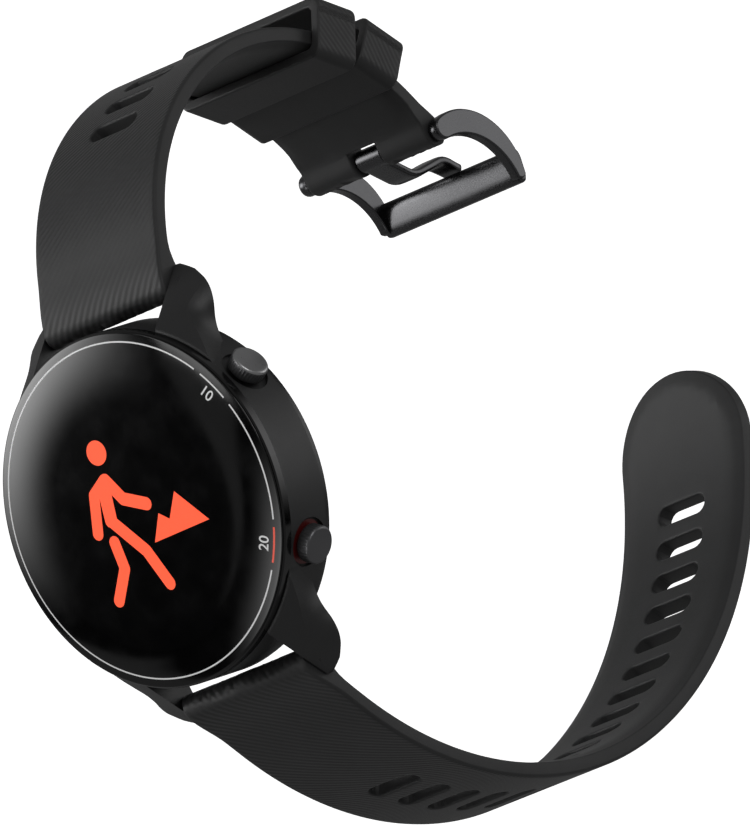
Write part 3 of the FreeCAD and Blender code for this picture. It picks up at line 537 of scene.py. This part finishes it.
    def inner_face(self, across, distance):
        """The same for the bevelled inner face, which is ribbed only round its root."""
        _, inner = self.thickness(distance)
        gap = max(0.0, self.edge_gap(across, distance))
        hole = max(0.0, self.slot_gap(across, distance))
        part = max(0.0, min(1.0, (BEVEL_REACH - gap) / BEVEL_RUN))
        bevel = BEVEL_DEPTH * part * ease(distance, *BEVEL_ROOT)
        if not self.tip:
            before, after = BEVEL_EYE
            bevel *= 1.0 - ease(distance, self.end - before, self.end - after)
        offset = -(inner - rounding(gap, min(INNER_EDGE, inner * EDGE_SHARE)) - bevel)
        offset += rounding(hole, SLOT_EDGE)
        return offset, ease(-distance, *RIB_FADE_ROOT)


def strap(name, node, path, slot_count, mirror, tip):
    """A strap with its rounded root, slots, ribs and either a round tip or a pin eye."""
    flat = FlatStrap(path, slot_count, tip)
    points, edges = [], []
    for ring in EDGE_RINGS:
        for line in flat.edge_lines(ring):
            chain(points, edges, line, False)
    for ring in SLOT_RINGS:
        for place in flat.places:
            chain(points, edges, slot_loop(place, ring), True)
    for line in flat.end_lines():
        chain(points, edges, line, False)
    points += flat.inner_points()
    spots, triangles = triangulate(points, edges, flat.holds, 1e-5)
    verts, ribs, masks = [], [], []
    for face in (flat.outer_face, flat.inner_face):
        for across, distance in spots:
            offset, mask = face(across, distance)
            verts.append(path_point(path, across, distance, offset, mirror))
            ribs.append((across - rib_shift(distance)) / RIB_PITCH)
            masks.append(mask)
    item = make_piece(name, verts, two_skins(triangles, len(spots)), "strap_silicone", node,
                      weld=0.003, values={"rib": ribs, "rib_mask": masks})
    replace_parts(item, node)


strap("long_strap", "lower_strap", LOWER, 17, -1, True)
strap("buckle_strap", "upper_strap", UPPER, 4, 1, False)


# ------------------------------------------------------------------ keepers
KEEPER_CORNER, KEEPER_INNER_CORNER = 1.5, 0.8
KEEPER_EDGE = 0.32                      # radius of its rounded rims
KEEPER_FOOT = 0.6                       # how far the fixed keeper reaches below its strap
KEEPER_SINK = 0.05                      # how far its floor lies below the strap's outer face
KEEPER_RIB_PITCH, KEEPER_RIB_SLANT = 0.95, 0.9
CORNER_POINTS, SIDE_STEPS = 7, 6


def rounded_loop(half, low, high, radius):
    """A rounded rectangle from half a width and two heights, the same count for any radius."""
    loop = []
    corners = ((half - radius, high - radius, 0), (radius - half, high - radius, 90),
               (radius - half, low + radius, 180), (half - radius, low + radius, 270))
    for index, (x, z, start) in enumerate(corners):
        for step in range(CORNER_POINTS):
            angle = math.radians(start + 90 * step / (CORNER_POINTS - 1))
            loop.append((x + radius * math.cos(angle), z + radius * math.sin(angle)))
        x0, z0 = loop[-1]
        following = corners[(index + 1) % 4]
        x1 = following[0] + radius * math.cos(angle)
        z1 = following[1] + radius * math.sin(angle)
        for step in range(1, SIDE_STEPS):
            loop.append((x0 + (x1 - x0) * step / SIDE_STEPS, z0 + (z1 - z0) * step / SIDE_STEPS))
    return loop


def keeper_section():
    """The wall's section: distance along, depth below its face in edge radii, and which face."""
    section = []
    rim = [math.radians(angle) for angle in (0, 22.5, 45, 67.5, 90)]
    for along_sign, face in ((1, 1), (-1, 1), (-1, -1), (1, -1)):
        for angle in rim if along_sign * face > 0 else rim[::-1]:
            forward = along_sign * (KEEPER_HALF - KEEPER_EDGE + KEEPER_EDGE * math.cos(angle))
            section.append((forward, face * (1 - math.sin(angle)), face))
        if along_sign == 1 and face == 1:
            section += [(KEEPER_HALF * share, 0.0, 1) for share in (0.5, 0.0, -0.5)]
    return section


def keeper(name, body, place, slack):
    """A rubber loop round the strap, ribbed outside and smooth inside."""
    half = HALF_WIDTH + GAP
    low = -HALF_THICK - slack - (KEEPER_WALL if slack else KEEPER_FOOT)
    high = HALF_THICK + KEEPER_ROOM + KEEPER_WALL
    floor = -HALF_THICK - slack if slack else HALF_THICK - KEEPER_SINK
    outer = rounded_loop(half + KEEPER_WALL, low, high, KEEPER_CORNER)
    inner = rounded_loop(half, floor, high - KEEPER_WALL, KEEPER_INNER_CORNER)
    section = keeper_section()
    verts, ribs, masks = [], [], []
    length = 0.0
    for index, ((ox, oz), (ix, iz)) in enumerate(zip(outer, inner)):
        px, pz = outer[index - 1]
        length += math.hypot(ox - px, oz - pz) if index else 0.0
        wall = math.hypot(ox - ix, oz - iz)
        for forward, depth, face in section:
            part = depth * KEEPER_EDGE / wall
            share = 1.0 - part if face > 0 else -part
            verts.append(local_point(UPPER, place, ix + (ox - ix) * share, forward,
                                     iz + (oz - iz) * share))
            ribs.append((length + forward * KEEPER_RIB_SLANT) / KEEPER_RIB_PITCH)
            shown = ease(KEEPER_HALF - abs(forward), 0.1, 0.5) if face > 0 else 0.0
            masks.append(shown * ease(oz, low + 0.4, low + 1.6))
    return make_piece(name, verts, ring_faces(len(outer), len(section), closed=True),
                      "strap_silicone", body, values={"rib": ribs, "rib_mask": masks})


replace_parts(keeper("sliding_keeper", "free_keeper", FREE_KEEPER, GAP), "free_keeper")
keeper("fixed_keeper", "upper_strap", FIXED_KEEPER, 0.0)


# ------------------------------------------------------------------ sweeps
def sweep(name, rings, slot, body, node=None):
    """A skin over a row of equal rings of points, with flat ends."""
    size, count = len(rings[0]), len(rings)
    ends = [tuple(reversed(range(size))), tuple(range((count - 1) * size, count * size))]
    verts = [point for ring in rings for point in ring]
    item = make_piece(name, verts, ring_faces(count, size) + ends, slot, body)
    if node:
        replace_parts(item, node)
    return item


def full_oval(half, thick, powers, steps):
    """A closed oval of two half sizes; the lower the powers, the more it fills its box."""
    oval = []
    for step in range(steps):
        angle = 2 * math.pi * step / steps
        c, s = math.cos(angle), math.sin(angle)
        oval.append((half * math.copysign(abs(c) ** powers[0], c),
                     thick * math.copysign(abs(s) ** powers[1], s)))
    return oval


# ------------------------------------------------------------------ push buttons
KEY_Z = 5.6
KEY_ANGLE = 30.0
TEETH = 36
FLUTED, FLUTED_RADIUS, FLUTE_DEPTH = (23.2, 24.4), 2.4, 0.12
FACE_START = 24.6
# Distance from the watch's axis and radius: stem, clip groove, cap and domed face.
BUTTON = [(19.4, 0.35), (19.4, 0.8), (19.67, 0.8), (19.67, 0.55), (19.97, 0.55), (19.97, 0.8),
          (22.9, 0.8), (22.9, 2.3), (23.02, 2.46), (23.25, 2.5), (24.35, 2.5), (24.55, 2.47),
          (24.7, 2.38), (24.8, 2.26), (24.84, 2.1), (24.87, 1.8), (24.93, 1.1), (24.97, 0.35)]


def push_button(side, name, look):
    """A turned button with a fluted rim and a slightly domed face."""
    turn = math.radians(KEY_ANGLE * side)
    along_x, along_y = math.cos(turn), math.sin(turn)
    rings = []
    for distance, radius in BUTTON:
        fluted = FLUTED[0] <= distance <= FLUTED[1] and radius > FLUTED_RADIUS
        ring = []
        for step in range(4 * TEETH):
            r = radius - (FLUTE_DEPTH if fluted and step % 4 == 0 else 0.0)
            angle = 2 * math.pi * step / (4 * TEETH)
            across = r * math.cos(angle)
            ring.append((distance * along_x - across * along_y,
                         distance * along_y + across * along_x, KEY_Z + r * math.sin(angle)))
        rings.append(ring)
    cap = sweep(name + "_cap", rings, "key_metal", name.replace("button", "key"), node=name)
    cap.data.materials.append(look)
    for face in cap.data.polygons:
        reach = face.center.x * along_x + face.center.y * along_y
        face.material_index = int(reach > FACE_START * MM)


push_button(1, "home_button", textured("home_face", (0.36, 0.36, 0.365), 0.34, 0.9, spread=0.06,
                                       cells=6.0, bump=0.004))
push_button(-1, "sport_button", paint["key_metal"])


# ------------------------------------------------------------------ buckle
PIN_Y, PIN_Z, _ = along(UPPER, sum(length for length, _ in UPPER[1]))
BUCKLE_HEADING = math.radians(-123.7)
REACH = 13.2                            # from the pin to the closing bar
ARM_IN, ARM_OUT = 11.3, 12.8            # an arm's faces
EYE = 1.45                              # radius of an arm's foot round the pin
ARM_STEPS, ARM_END_STEPS, ARM_EYE_STEPS = 26, 6, 12
# Place across an arm, and how far its outline is drawn in there.
ARM_EDGE = ((ARM_IN, 0.2), (ARM_IN + 0.06, 0.07), (ARM_IN + 0.2, 0.0),
            (ARM_OUT - 0.28, 0.0), (ARM_OUT - 0.08, 0.09), (ARM_OUT, 0.28))
BAR_TURN = math.radians(-61.5)
BAR_HALF = ARM_OUT - 0.4
BAR_WIDE, BAR_THICK, BAR_POWERS = 2.28, 0.84, (0.62, 0.62)
BAR_AHEAD, BAR_UP = REACH + 0.65, 0.35
BAR_END = ((0.0, 0.72), (0.06, 0.86), (0.2, 0.96), (0.5, 1.0))  # place from its end, share
DRUM_END = ((0.0, 0.18), (0.05, 0.06), (0.16, 0.0))             # place from its end, fall
TONGUE_START = -0.95                    # height of the tongue's mid-line at the pin
TONGUE_RUNS = ((4.2, 0.0), (2.35, -3.2), (4.2, 0.0), (2.35, 3.2), (2.4, 0.0))
TONGUE_LENGTH = 15.5
TONGUE_WIDE, TONGUE_THICK, TONGUE_POWERS = 2.18, 0.58, (0.35, 0.6)
TONGUE_TAPER, TONGUE_TAPER_START = 0.5, 8.0


def buckle_point(x, forward, up):
    """A row-frame point from buckle coordinates."""
    c, s = math.cos(BUCKLE_HEADING), math.sin(BUCKLE_HEADING)
    return (x, PIN_Y + c * forward - s * up, PIN_Z + s * forward + c * up)


def arc_through(a, b, c, count):
    """Points on the circle through three points, from the first to the last."""
    (ax, ay), (bx, by), (cx, cy) = a, b, c
    d = 2 * (ax * (by - cy) + bx * (cy - ay) + cx * (ay - by))
    sa, sb, sc = ax * ax + ay * ay, bx * bx + by * by, cx * cx + cy * cy
    ox = (sa * (by - cy) + sb * (cy - ay) + sc * (ay - by)) / d
    oy = (sa * (cx - bx) + sb * (ax - cx) + sc * (bx - ax)) / d
    r = math.hypot(ax - ox, ay - oy)
    start, middle, end = (math.atan2(y - oy, x - ox) for x, y in (a, b, c))
    turn = (end - start) % (2 * math.pi)
    if (middle - start) % (2 * math.pi) > turn:
        turn -= 2 * math.pi
    angles = [start + turn * i / count for i in range(count + 1)]
    return [(ox + r * math.cos(angle), oy + r * math.sin(angle)) for angle in angles]


def inset(loop, amount):
    """A closed loop moved inwards along its own normals."""
    area = sum(x0 * y1 - x1 * y0 for (x0, y0), (x1, y1) in zip(loop, loop[1:] + loop[:1]))
    sign = 1 if area > 0 else -1
    moved = []
    for index, (x, y) in enumerate(loop):
        x0, y0 = loop[index - 1]
        x1, y1 = loop[(index + 1) % len(loop)]
        dx, dy = x1 - x0, y1 - y0
        size = math.hypot(dx, dy)
        moved.append((x - sign * dy / size * amount, y + sign * dx / size * amount))
    return moved


def buckle_arm(name, side):
    """A crescent arm with eased edges, its foot widening round the pin."""
    foot = (EYE * 0.7, EYE * 0.75)
    outer = arc_through((-foot[0], foot[1]), (REACH * 0.52, 4.6), (REACH + 1.6, -0.6), ARM_STEPS)
    inner = arc_through((REACH + 0.3, -1.6), (REACH * 0.55, 1.3), (foot[0], -foot[1]), ARM_STEPS)
    end = arc_through(outer[-1], (REACH + 1.25, -1.35), inner[0], ARM_END_STEPS)[1:-1]
    start = math.atan2(inner[-1][1], inner[-1][0])
    turn = math.atan2(outer[0][1], outer[0][0]) - 2 * math.pi - start
    eye = [(EYE * math.cos(start + turn * i / ARM_EYE_STEPS),
            EYE * math.sin(start + turn * i / ARM_EYE_STEPS)) for i in range(1, ARM_EYE_STEPS)]
    loop = outer + end + inner + eye
    rings = [[buckle_point(side * x, forward, up)
              for forward, up in (inset(loop, drawn_in) if drawn_in else loop)]
             for x, drawn_in in ARM_EDGE]
    sweep(name, rings, "buckle_metal", "buckle_frame")


def buckle_bar():
    """The wide closing bar, full and rounded in section, its ends drawn in."""
    run = BAR_END[-1][0]
    middle = [(-BAR_HALF + run + (2 * BAR_HALF - 2 * run) * i / 12, 1.0) for i in range(1, 12)]
    stations = [(-BAR_HALF + place, share) for place, share in BAR_END] + middle
    stations += [(BAR_HALF - place, share) for place, share in reversed(BAR_END)]
    c, s = math.cos(BAR_TURN), math.sin(BAR_TURN)
    rings = [[buckle_point(x, BAR_AHEAD + c * u - s * v, BAR_UP + s * u + c * v)
              for u, v in full_oval(BAR_WIDE * share, BAR_THICK * share, BAR_POWERS, 36)]
             for x, share in stations]
    sweep("buckle_bar", rings, "buckle_metal", "buckle_frame", node="buckle_frame")


def drum(name, start, end, radius, body):
    """A short turned cylinder across the buckle, its ends eased."""
    stations = [(start + place, radius - fall) for place, fall in DRUM_END]
    stations += [(end - place, radius - fall) for place, fall in reversed(DRUM_END)]
    rings = [[buckle_point(x, r * math.cos(math.radians(a)), r * math.sin(math.radians(a)))
              for a in range(0, 360, 9)] for x, r in stations]
    sweep(name, rings, "buckle_metal", body)


def tongue_line(distance):
    """Forward, up and heading on the tongue's mid-line."""
    forward, up, heading = 0.0, TONGUE_START, 0.0
    for length, bend in TONGUE_RUNS:
        step = min(distance, length)
        turn = step / bend if bend else 0.0
        ahead = bend * math.sin(turn) if bend else step
        aside = bend * (1 - math.cos(turn)) if bend else 0.0
        forward += math.cos(heading) * ahead + math.sin(heading) * aside
        up += math.sin(heading) * ahead - math.cos(heading) * aside
        heading -= turn
        distance -= step
        if distance <= 0:
            break
    return forward, up, heading


def tongue():
    """The S-shaped tongue, soft-edged and a little narrower at its tip."""
    total = TONGUE_LENGTH
    stops = [0.0, 0.08, 0.25] + [total * i / 34 for i in range(1, 34)]
    stops += [total - 0.3, total - 0.1, total]
    rings = []
    for distance in stops:
        forward, up, heading = tongue_line(distance)
        share = min(1.0, 0.7 + 0.3 * math.sqrt(min(1.0, (total - distance) / 0.45)))
        half = (TONGUE_WIDE - TONGUE_TAPER * ease(distance, TONGUE_TAPER_START, total)) * share
        rings.append([buckle_point(x, forward - math.sin(heading) * v, up + math.cos(heading) * v)
                      for x, v in full_oval(half, TONGUE_THICK * share, TONGUE_POWERS, 28)])
    sweep("tongue_blade", rings, "buckle_metal", "buckle_tongue", node="buckle_tongue")


buckle_arm("buckle_arm_right", 1)
buckle_arm("buckle_arm_left", -1)
buckle_bar()
drum("buckle_eye_right", ARM_IN - 0.22, ARM_OUT - 0.5, EYE - 0.05, "buckle_frame")
drum("buckle_eye_left", 0.5 - ARM_OUT, 0.22 - ARM_IN, EYE - 0.05, "buckle_frame")
tongue()
drum("tongue_eye", -2.19, 2.19, 1.54, "buckle_tongue")


# ------------------------------------------------------------------ glass and dial marks
GLASS_CURVE = 2.2                       # power of the fall towards the rim
GLASS_HUB = 0.4                         # radius of the small flat in the middle
GLASS_STEPS = 26
RING_RADIUS = 21.62
STROKE_HALF, STROKE_END_STEPS = 0.85, 10
# The walker's strokes, from x, y to x, y: two arms, the trunk, two legs.
STROKES = [
    (-3.5, 5.2, -6.0, 3.9), (-6.0, 3.9, -7.6, -0.7),
    (-3.3, 5.2, -1.6, 2.2), (-1.6, 2.2, 1.8, 0.5),
    (-3.7, 5.0, -4.6, 0.2), (-4.2, 4.8, -4.9, 0.2),
    (-4.5, -0.2, -0.9, -5.0), (-0.9, -5.0, 0.9, -9.9),
    (-5.5, -2.5, -5.4, -6.0), (-5.4, -6.0, -8.2, -9.5),
]
HEAD_X, HEAD_Y, HEAD_RADIUS = -3.1, 8.8, 1.62
MOUNTAIN = [(0.9, -4.45), (3.15, -1.2), (4.6, -2.4), (6.9, 0.6), (10.8, -4.35)]
NUMBER_RADIUS, NUMBER_SIZE, NUMBER_SWELL = 20.2, 2.0, 0.02


def glass_height(radius):
    """Height of the glass's face, which falls away towards its rim."""
    part = max(0.0, (radius - GLASS_FLAT) / (GLASS_BROW - GLASS_FLAT))
    return GLASS_TOP - MARK_HEIGHT - GLASS_FALL * part ** GLASS_CURVE


def glass():
    """The cover glass, flat in the middle and falling away to a thin rim."""
    rim = glass_height(GLASS_BROW)
    profile = [(GLASS_HUB, GLASS_FOOT), (12.0, GLASS_FOOT), (GLASS_RADIUS - 0.06, GLASS_FOOT),
               (GLASS_RADIUS, GLASS_FOOT + 0.06), (GLASS_RADIUS, rim - 0.1),
               (GLASS_RADIUS - 0.06, rim - 0.03), (GLASS_BROW, rim)]
    for index in range(1, GLASS_STEPS + 1):
        radius = GLASS_BROW - (GLASS_BROW - GLASS_FLAT) * index / GLASS_STEPS
        profile.append((radius, glass_height(radius)))
    profile += [(radius, glass_height(0.0)) for radius in (9.0, 4.0, GLASS_HUB)]
    rings = [[(radius * math.cos(math.radians(angle)), radius * math.sin(math.radians(angle)), z)
              for angle in range(0, 360, 2)] for radius, z in profile]
    sweep("domed_glass", rings, "cover_glass", "case", node="cover_glass")


glass()


def flat_piece(name, outlines, inside):
    """A thin flat piece on the glass: the area that lies inside any of the outlines."""
    points, edges = [], []
    for loop in outlines:
        chain(points, edges, loop, True)
    spots, triangles = triangulate(points, edges, inside, 1e-6)
    verts = [(spot.x, spot.y, glass_height(spot.length) + lift)
             for lift in (MARK_HEIGHT, 0.0) for spot in spots]
    make_piece(name, verts, two_skins(triangles, len(spots)), "display", "case", smooth=False,
               look=orange)


def ring_part(name, start, end, look, half=0.1):
    """A thin arc round the dial between two angles in degrees."""
    steps = max(6, round((end - start) / 1.5))
    low, high = RING_RADIUS - half, RING_RADIUS + half
    verts = []
    for index in range(steps + 1):
        angle = math.radians(start + (end - start) * index / steps)
        for r, z in ((low, 0), (high, 0), (high, MARK_HEIGHT), (low, MARK_HEIGHT)):
            verts.append((r * math.cos(angle), r * math.sin(angle), glass_height(r) + z))
    ends = [(0, 1, 2, 3), tuple(steps * 4 + step for step in (3, 2, 1, 0))]
    make_piece(name, verts, ring_faces(steps + 1, 4) + ends, "cover_glass", "case",
               smooth=False, look=look)


# The white ring, its marks and the numbers, and the coral sport mark are printed and glow with a
# painted glow; the orange figure is lit by the display.
white = lit("dial_white_painted_glow", (0.80, 0.80, 0.80), 0.25)
coral = lit("dial_coral_painted_glow", (0.85, 0.10, 0.06), 0.35)
orange = lit("dial_orange", (1.0, 0.10, 0.032), 0.75)
ring_part("dial_ring_long", 39.6, 322.3, white)
ring_part("dial_ring_button_mark", 24.7, 36.8, white)
ring_part("dial_ring_side", -20.1, 21.7, white)
ring_part("dial_ring_sport_mark", -35.0, -22.7, coral, half=0.13)


def capsule(x0, y0, x1, y1):
    """The outline of a stroke with round ends."""
    angle = math.atan2(y1 - y0, x1 - x0)
    loop = []
    for x, y, start in ((x1, y1, angle - math.pi / 2), (x0, y0, angle + math.pi / 2)):
        for index in range(STROKE_END_STEPS + 1):
            turn = start + math.pi * index / STROKE_END_STEPS
            loop.append((x + STROKE_HALF * math.cos(turn), y + STROKE_HALF * math.sin(turn)))
    return loop


def near_stroke(point):
    """Whether a point lies on one of the figure's strokes."""
    for x0, y0, x1, y1 in STROKES:
        run = Vector((x1 - x0, y1 - y0))
        t = max(0.0, min(1.0, (point - Vector((x0, y0))).dot(run) / run.length_squared))
        if (point - Vector((x0, y0)) - run * t).length < STROKE_HALF:
            return True
    return False


def in_polygon(point, loop):
    """Whether a point lies inside a polygon."""
    inside = False
    for (x0, y0), (x1, y1) in zip(loop, loop[1:] + loop[:1]):
        if (y0 > point.y) != (y1 > point.y):
            if point.x < x0 + (point.y - y0) * (x1 - x0) / (y1 - y0):
                inside = not inside
    return inside


head_loop = [(HEAD_X + HEAD_RADIUS * math.cos(math.radians(angle)),
              HEAD_Y + HEAD_RADIUS * math.sin(math.radians(angle)))
             for angle in range(0, 360, 9)]
flat_piece("walker_head", [head_loop], lambda point: in_polygon(point, head_loop))
flat_piece("walker_body", [capsule(*stroke) for stroke in STROKES], near_stroke)
flat_piece("hill_mark", [MOUNTAIN], lambda point: in_polygon(point, MOUNTAIN))


def number_mark(name, text, angle, turn):
    """A small number printed beside a button's mark."""
    curve = bpy.data.curves.new(name, "FONT")
    curve.body = text
    curve.size = NUMBER_SIZE * MM
    curve.align_x = "CENTER"
    curve.align_y = "CENTER"
    curve.offset = NUMBER_SWELL * MM
    curve.extrude = MARK_HEIGHT * MM / 2
    curve.resolution_u = 6
    letters = bpy.data.objects.new(name + "_text", curve)
    scene.collection.objects.link(letters)
    bpy.context.view_layer.update()
    mesh = bpy.data.meshes.new_from_object(letters)
    bpy.data.objects.remove(letters)
    place = math.radians(angle)
    spot = Vector((NUMBER_RADIUS * math.cos(place), NUMBER_RADIUS * math.sin(place),
                   MARK_HEIGHT / 2)) * MM
    mesh.transform(Matrix.Translation(spot) @ Matrix.Rotation(math.radians(turn), 4, "Z"))
    for vertex in mesh.vertices:
        vertex.co.z += glass_height(vertex.co.xy.length / MM) * MM
    mesh.materials.clear()
    # the printed number glows with the white painted glow
    mesh.materials.append(white)
    item = bpy.data.objects.new(name, mesh)
    scene.collection.objects.link(item)
    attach(item, "case")


number_mark("dial_number_10", "10", 30.8, -59.2)
number_mark("dial_number_20", "20", -28.9, 61.1)


# ------------------------------------------------------------------ floor, light, camera
# Metres from here on. A card's size is its side; its strength is the emission in its middle.
DIAL, BUCKLE_SIDE = (0, 0, 0.0115), (0.012, 0.027, -0.062)
CARDS = [
    ("glow_upper_left", (-0.469, 0.215, 0.305), DIAL, 0.56, 6.5),
    ("glow_lower_right", (-0.175, -0.146, 0.555), DIAL, 0.46, 3.0),
    ("glow_low_right", (0.24, 0.043, -0.33), BUCKLE_SIDE, 0.5, 1.6),
]
LIGHTS = [
    ("key_light", (-0.5, 0.6, 1.1), (0, 0, -0.02), 0.6, 2.6),
    ("side_light", (1.0, 0.5, 0.3), (0, 0, -0.03), 0.5, 2.4),
]
FLOOR_SIDE, FLOOR_HEIGHT = 12.0, -0.40
SENSOR_WIDTH, LENS = 36.0, 870.6        # in millimetres, as Blender has them


def plane(name, size, place, look):
    """A flat square that isn't part of the object."""
    mesh = bpy.data.meshes.new(name)
    half = size / 2
    mesh.from_pydata([(-half, -half, 0), (half, -half, 0), (half, half, 0), (-half, half, 0)], [],
                     [(0, 1, 2, 3)])
    mesh.materials.append(look)
    item = bpy.data.objects.new(name, mesh)
    scene.collection.objects.link(item)
    item.location = place
    return item


floor_look, floor_bsdf, floor_add, floor_link = shader("pale_floor", (0.93, 0.93, 0.93), 0.9)
floor_link(blend_colours(floor_add, grain(floor_add, 0.004), (0.92, 0.92, 0.92),
                         (0.94, 0.94, 0.94)), floor_bsdf.inputs["Base Color"])
floor_bsdf.inputs["Emission Color"].default_value = (1.0, 1.0, 1.0, 1.0)
floor_bsdf.inputs["Emission Strength"].default_value = 0.85
floor = plane("floor", FLOOR_SIDE, (0.0, 0.0, FLOOR_HEIGHT), floor_look)
floor.visible_diffuse = False
floor.visible_glossy = False
floor.visible_transmission = False


def glow_card(name, place, target, size, strength):
    """A card seen only in reflections, brighter towards its middle."""
    look, bsdf, add, link = shader(name, (0.0, 0.0, 0.0), 1.0)
    at = add("TexCoord").outputs["Object"]
    radius = add("VectorMath", {0: at}, operation="LENGTH").outputs["Value"]
    fade = add("MapRange", {"Value": radius, "From Min": 0.0, "From Max": 0.5 * size,
                            "To Min": strength, "To Max": 0.0}, interpolation_type="SMOOTHERSTEP")
    bsdf.inputs["Specular IOR Level"].default_value = 0.0
    bsdf.inputs["Emission Color"].default_value = (1.0, 1.0, 1.0, 1.0)
    link(fade.outputs["Result"], bsdf.inputs["Emission Strength"])
    card = plane(name, size, place, look)
    away = Vector(target) - Vector(place)
    card.rotation_euler = away.to_track_quat("Z", "Y").to_euler()
    card.visible_camera = False
    card.visible_diffuse = False
    card.visible_shadow = False
    card.visible_transmission = False


for card in CARDS:
    glow_card(*card)

world = bpy.data.worlds.new("studio")
world.use_nodes = True
world.node_tree.nodes["Background"].inputs["Color"].default_value = (1.0, 1.0, 1.0, 1.0)
world.node_tree.nodes["Background"].inputs["Strength"].default_value = 0.22
scene.world = world


def area_light(name, place, target, size, power):
    """A soft square light that looks at a target."""
    data = bpy.data.lights.new(name, "AREA")
    data.shape = "SQUARE"
    data.size = size
    data.energy = power
    item = bpy.data.objects.new(name, data)
    scene.collection.objects.link(item)
    item.location = place
    away = Vector(place) - Vector(target)
    item.rotation_euler = away.to_track_quat("Z", "Y").to_euler()


for light in LIGHTS:
    area_light(*light)

camera_data = bpy.data.cameras.new("camera")
camera_data.sensor_width = SENSOR_WIDTH
camera_data.lens = LENS
camera_data.clip_start = 0.1
camera_data.clip_end = 30.0
camera = bpy.data.objects.new("camera", camera_data)
scene.collection.objects.link(camera)
camera.matrix_world = Matrix((
    (0.6960, 0.2914, 0.6562, 1.6730),
    (-0.3497, 0.9358, -0.0448, -0.1114),
    (-0.6272, -0.1983, 0.7532, 1.8827),
    (0.0, 0.0, 0.0, 1.0),
))
scene.camera = camera
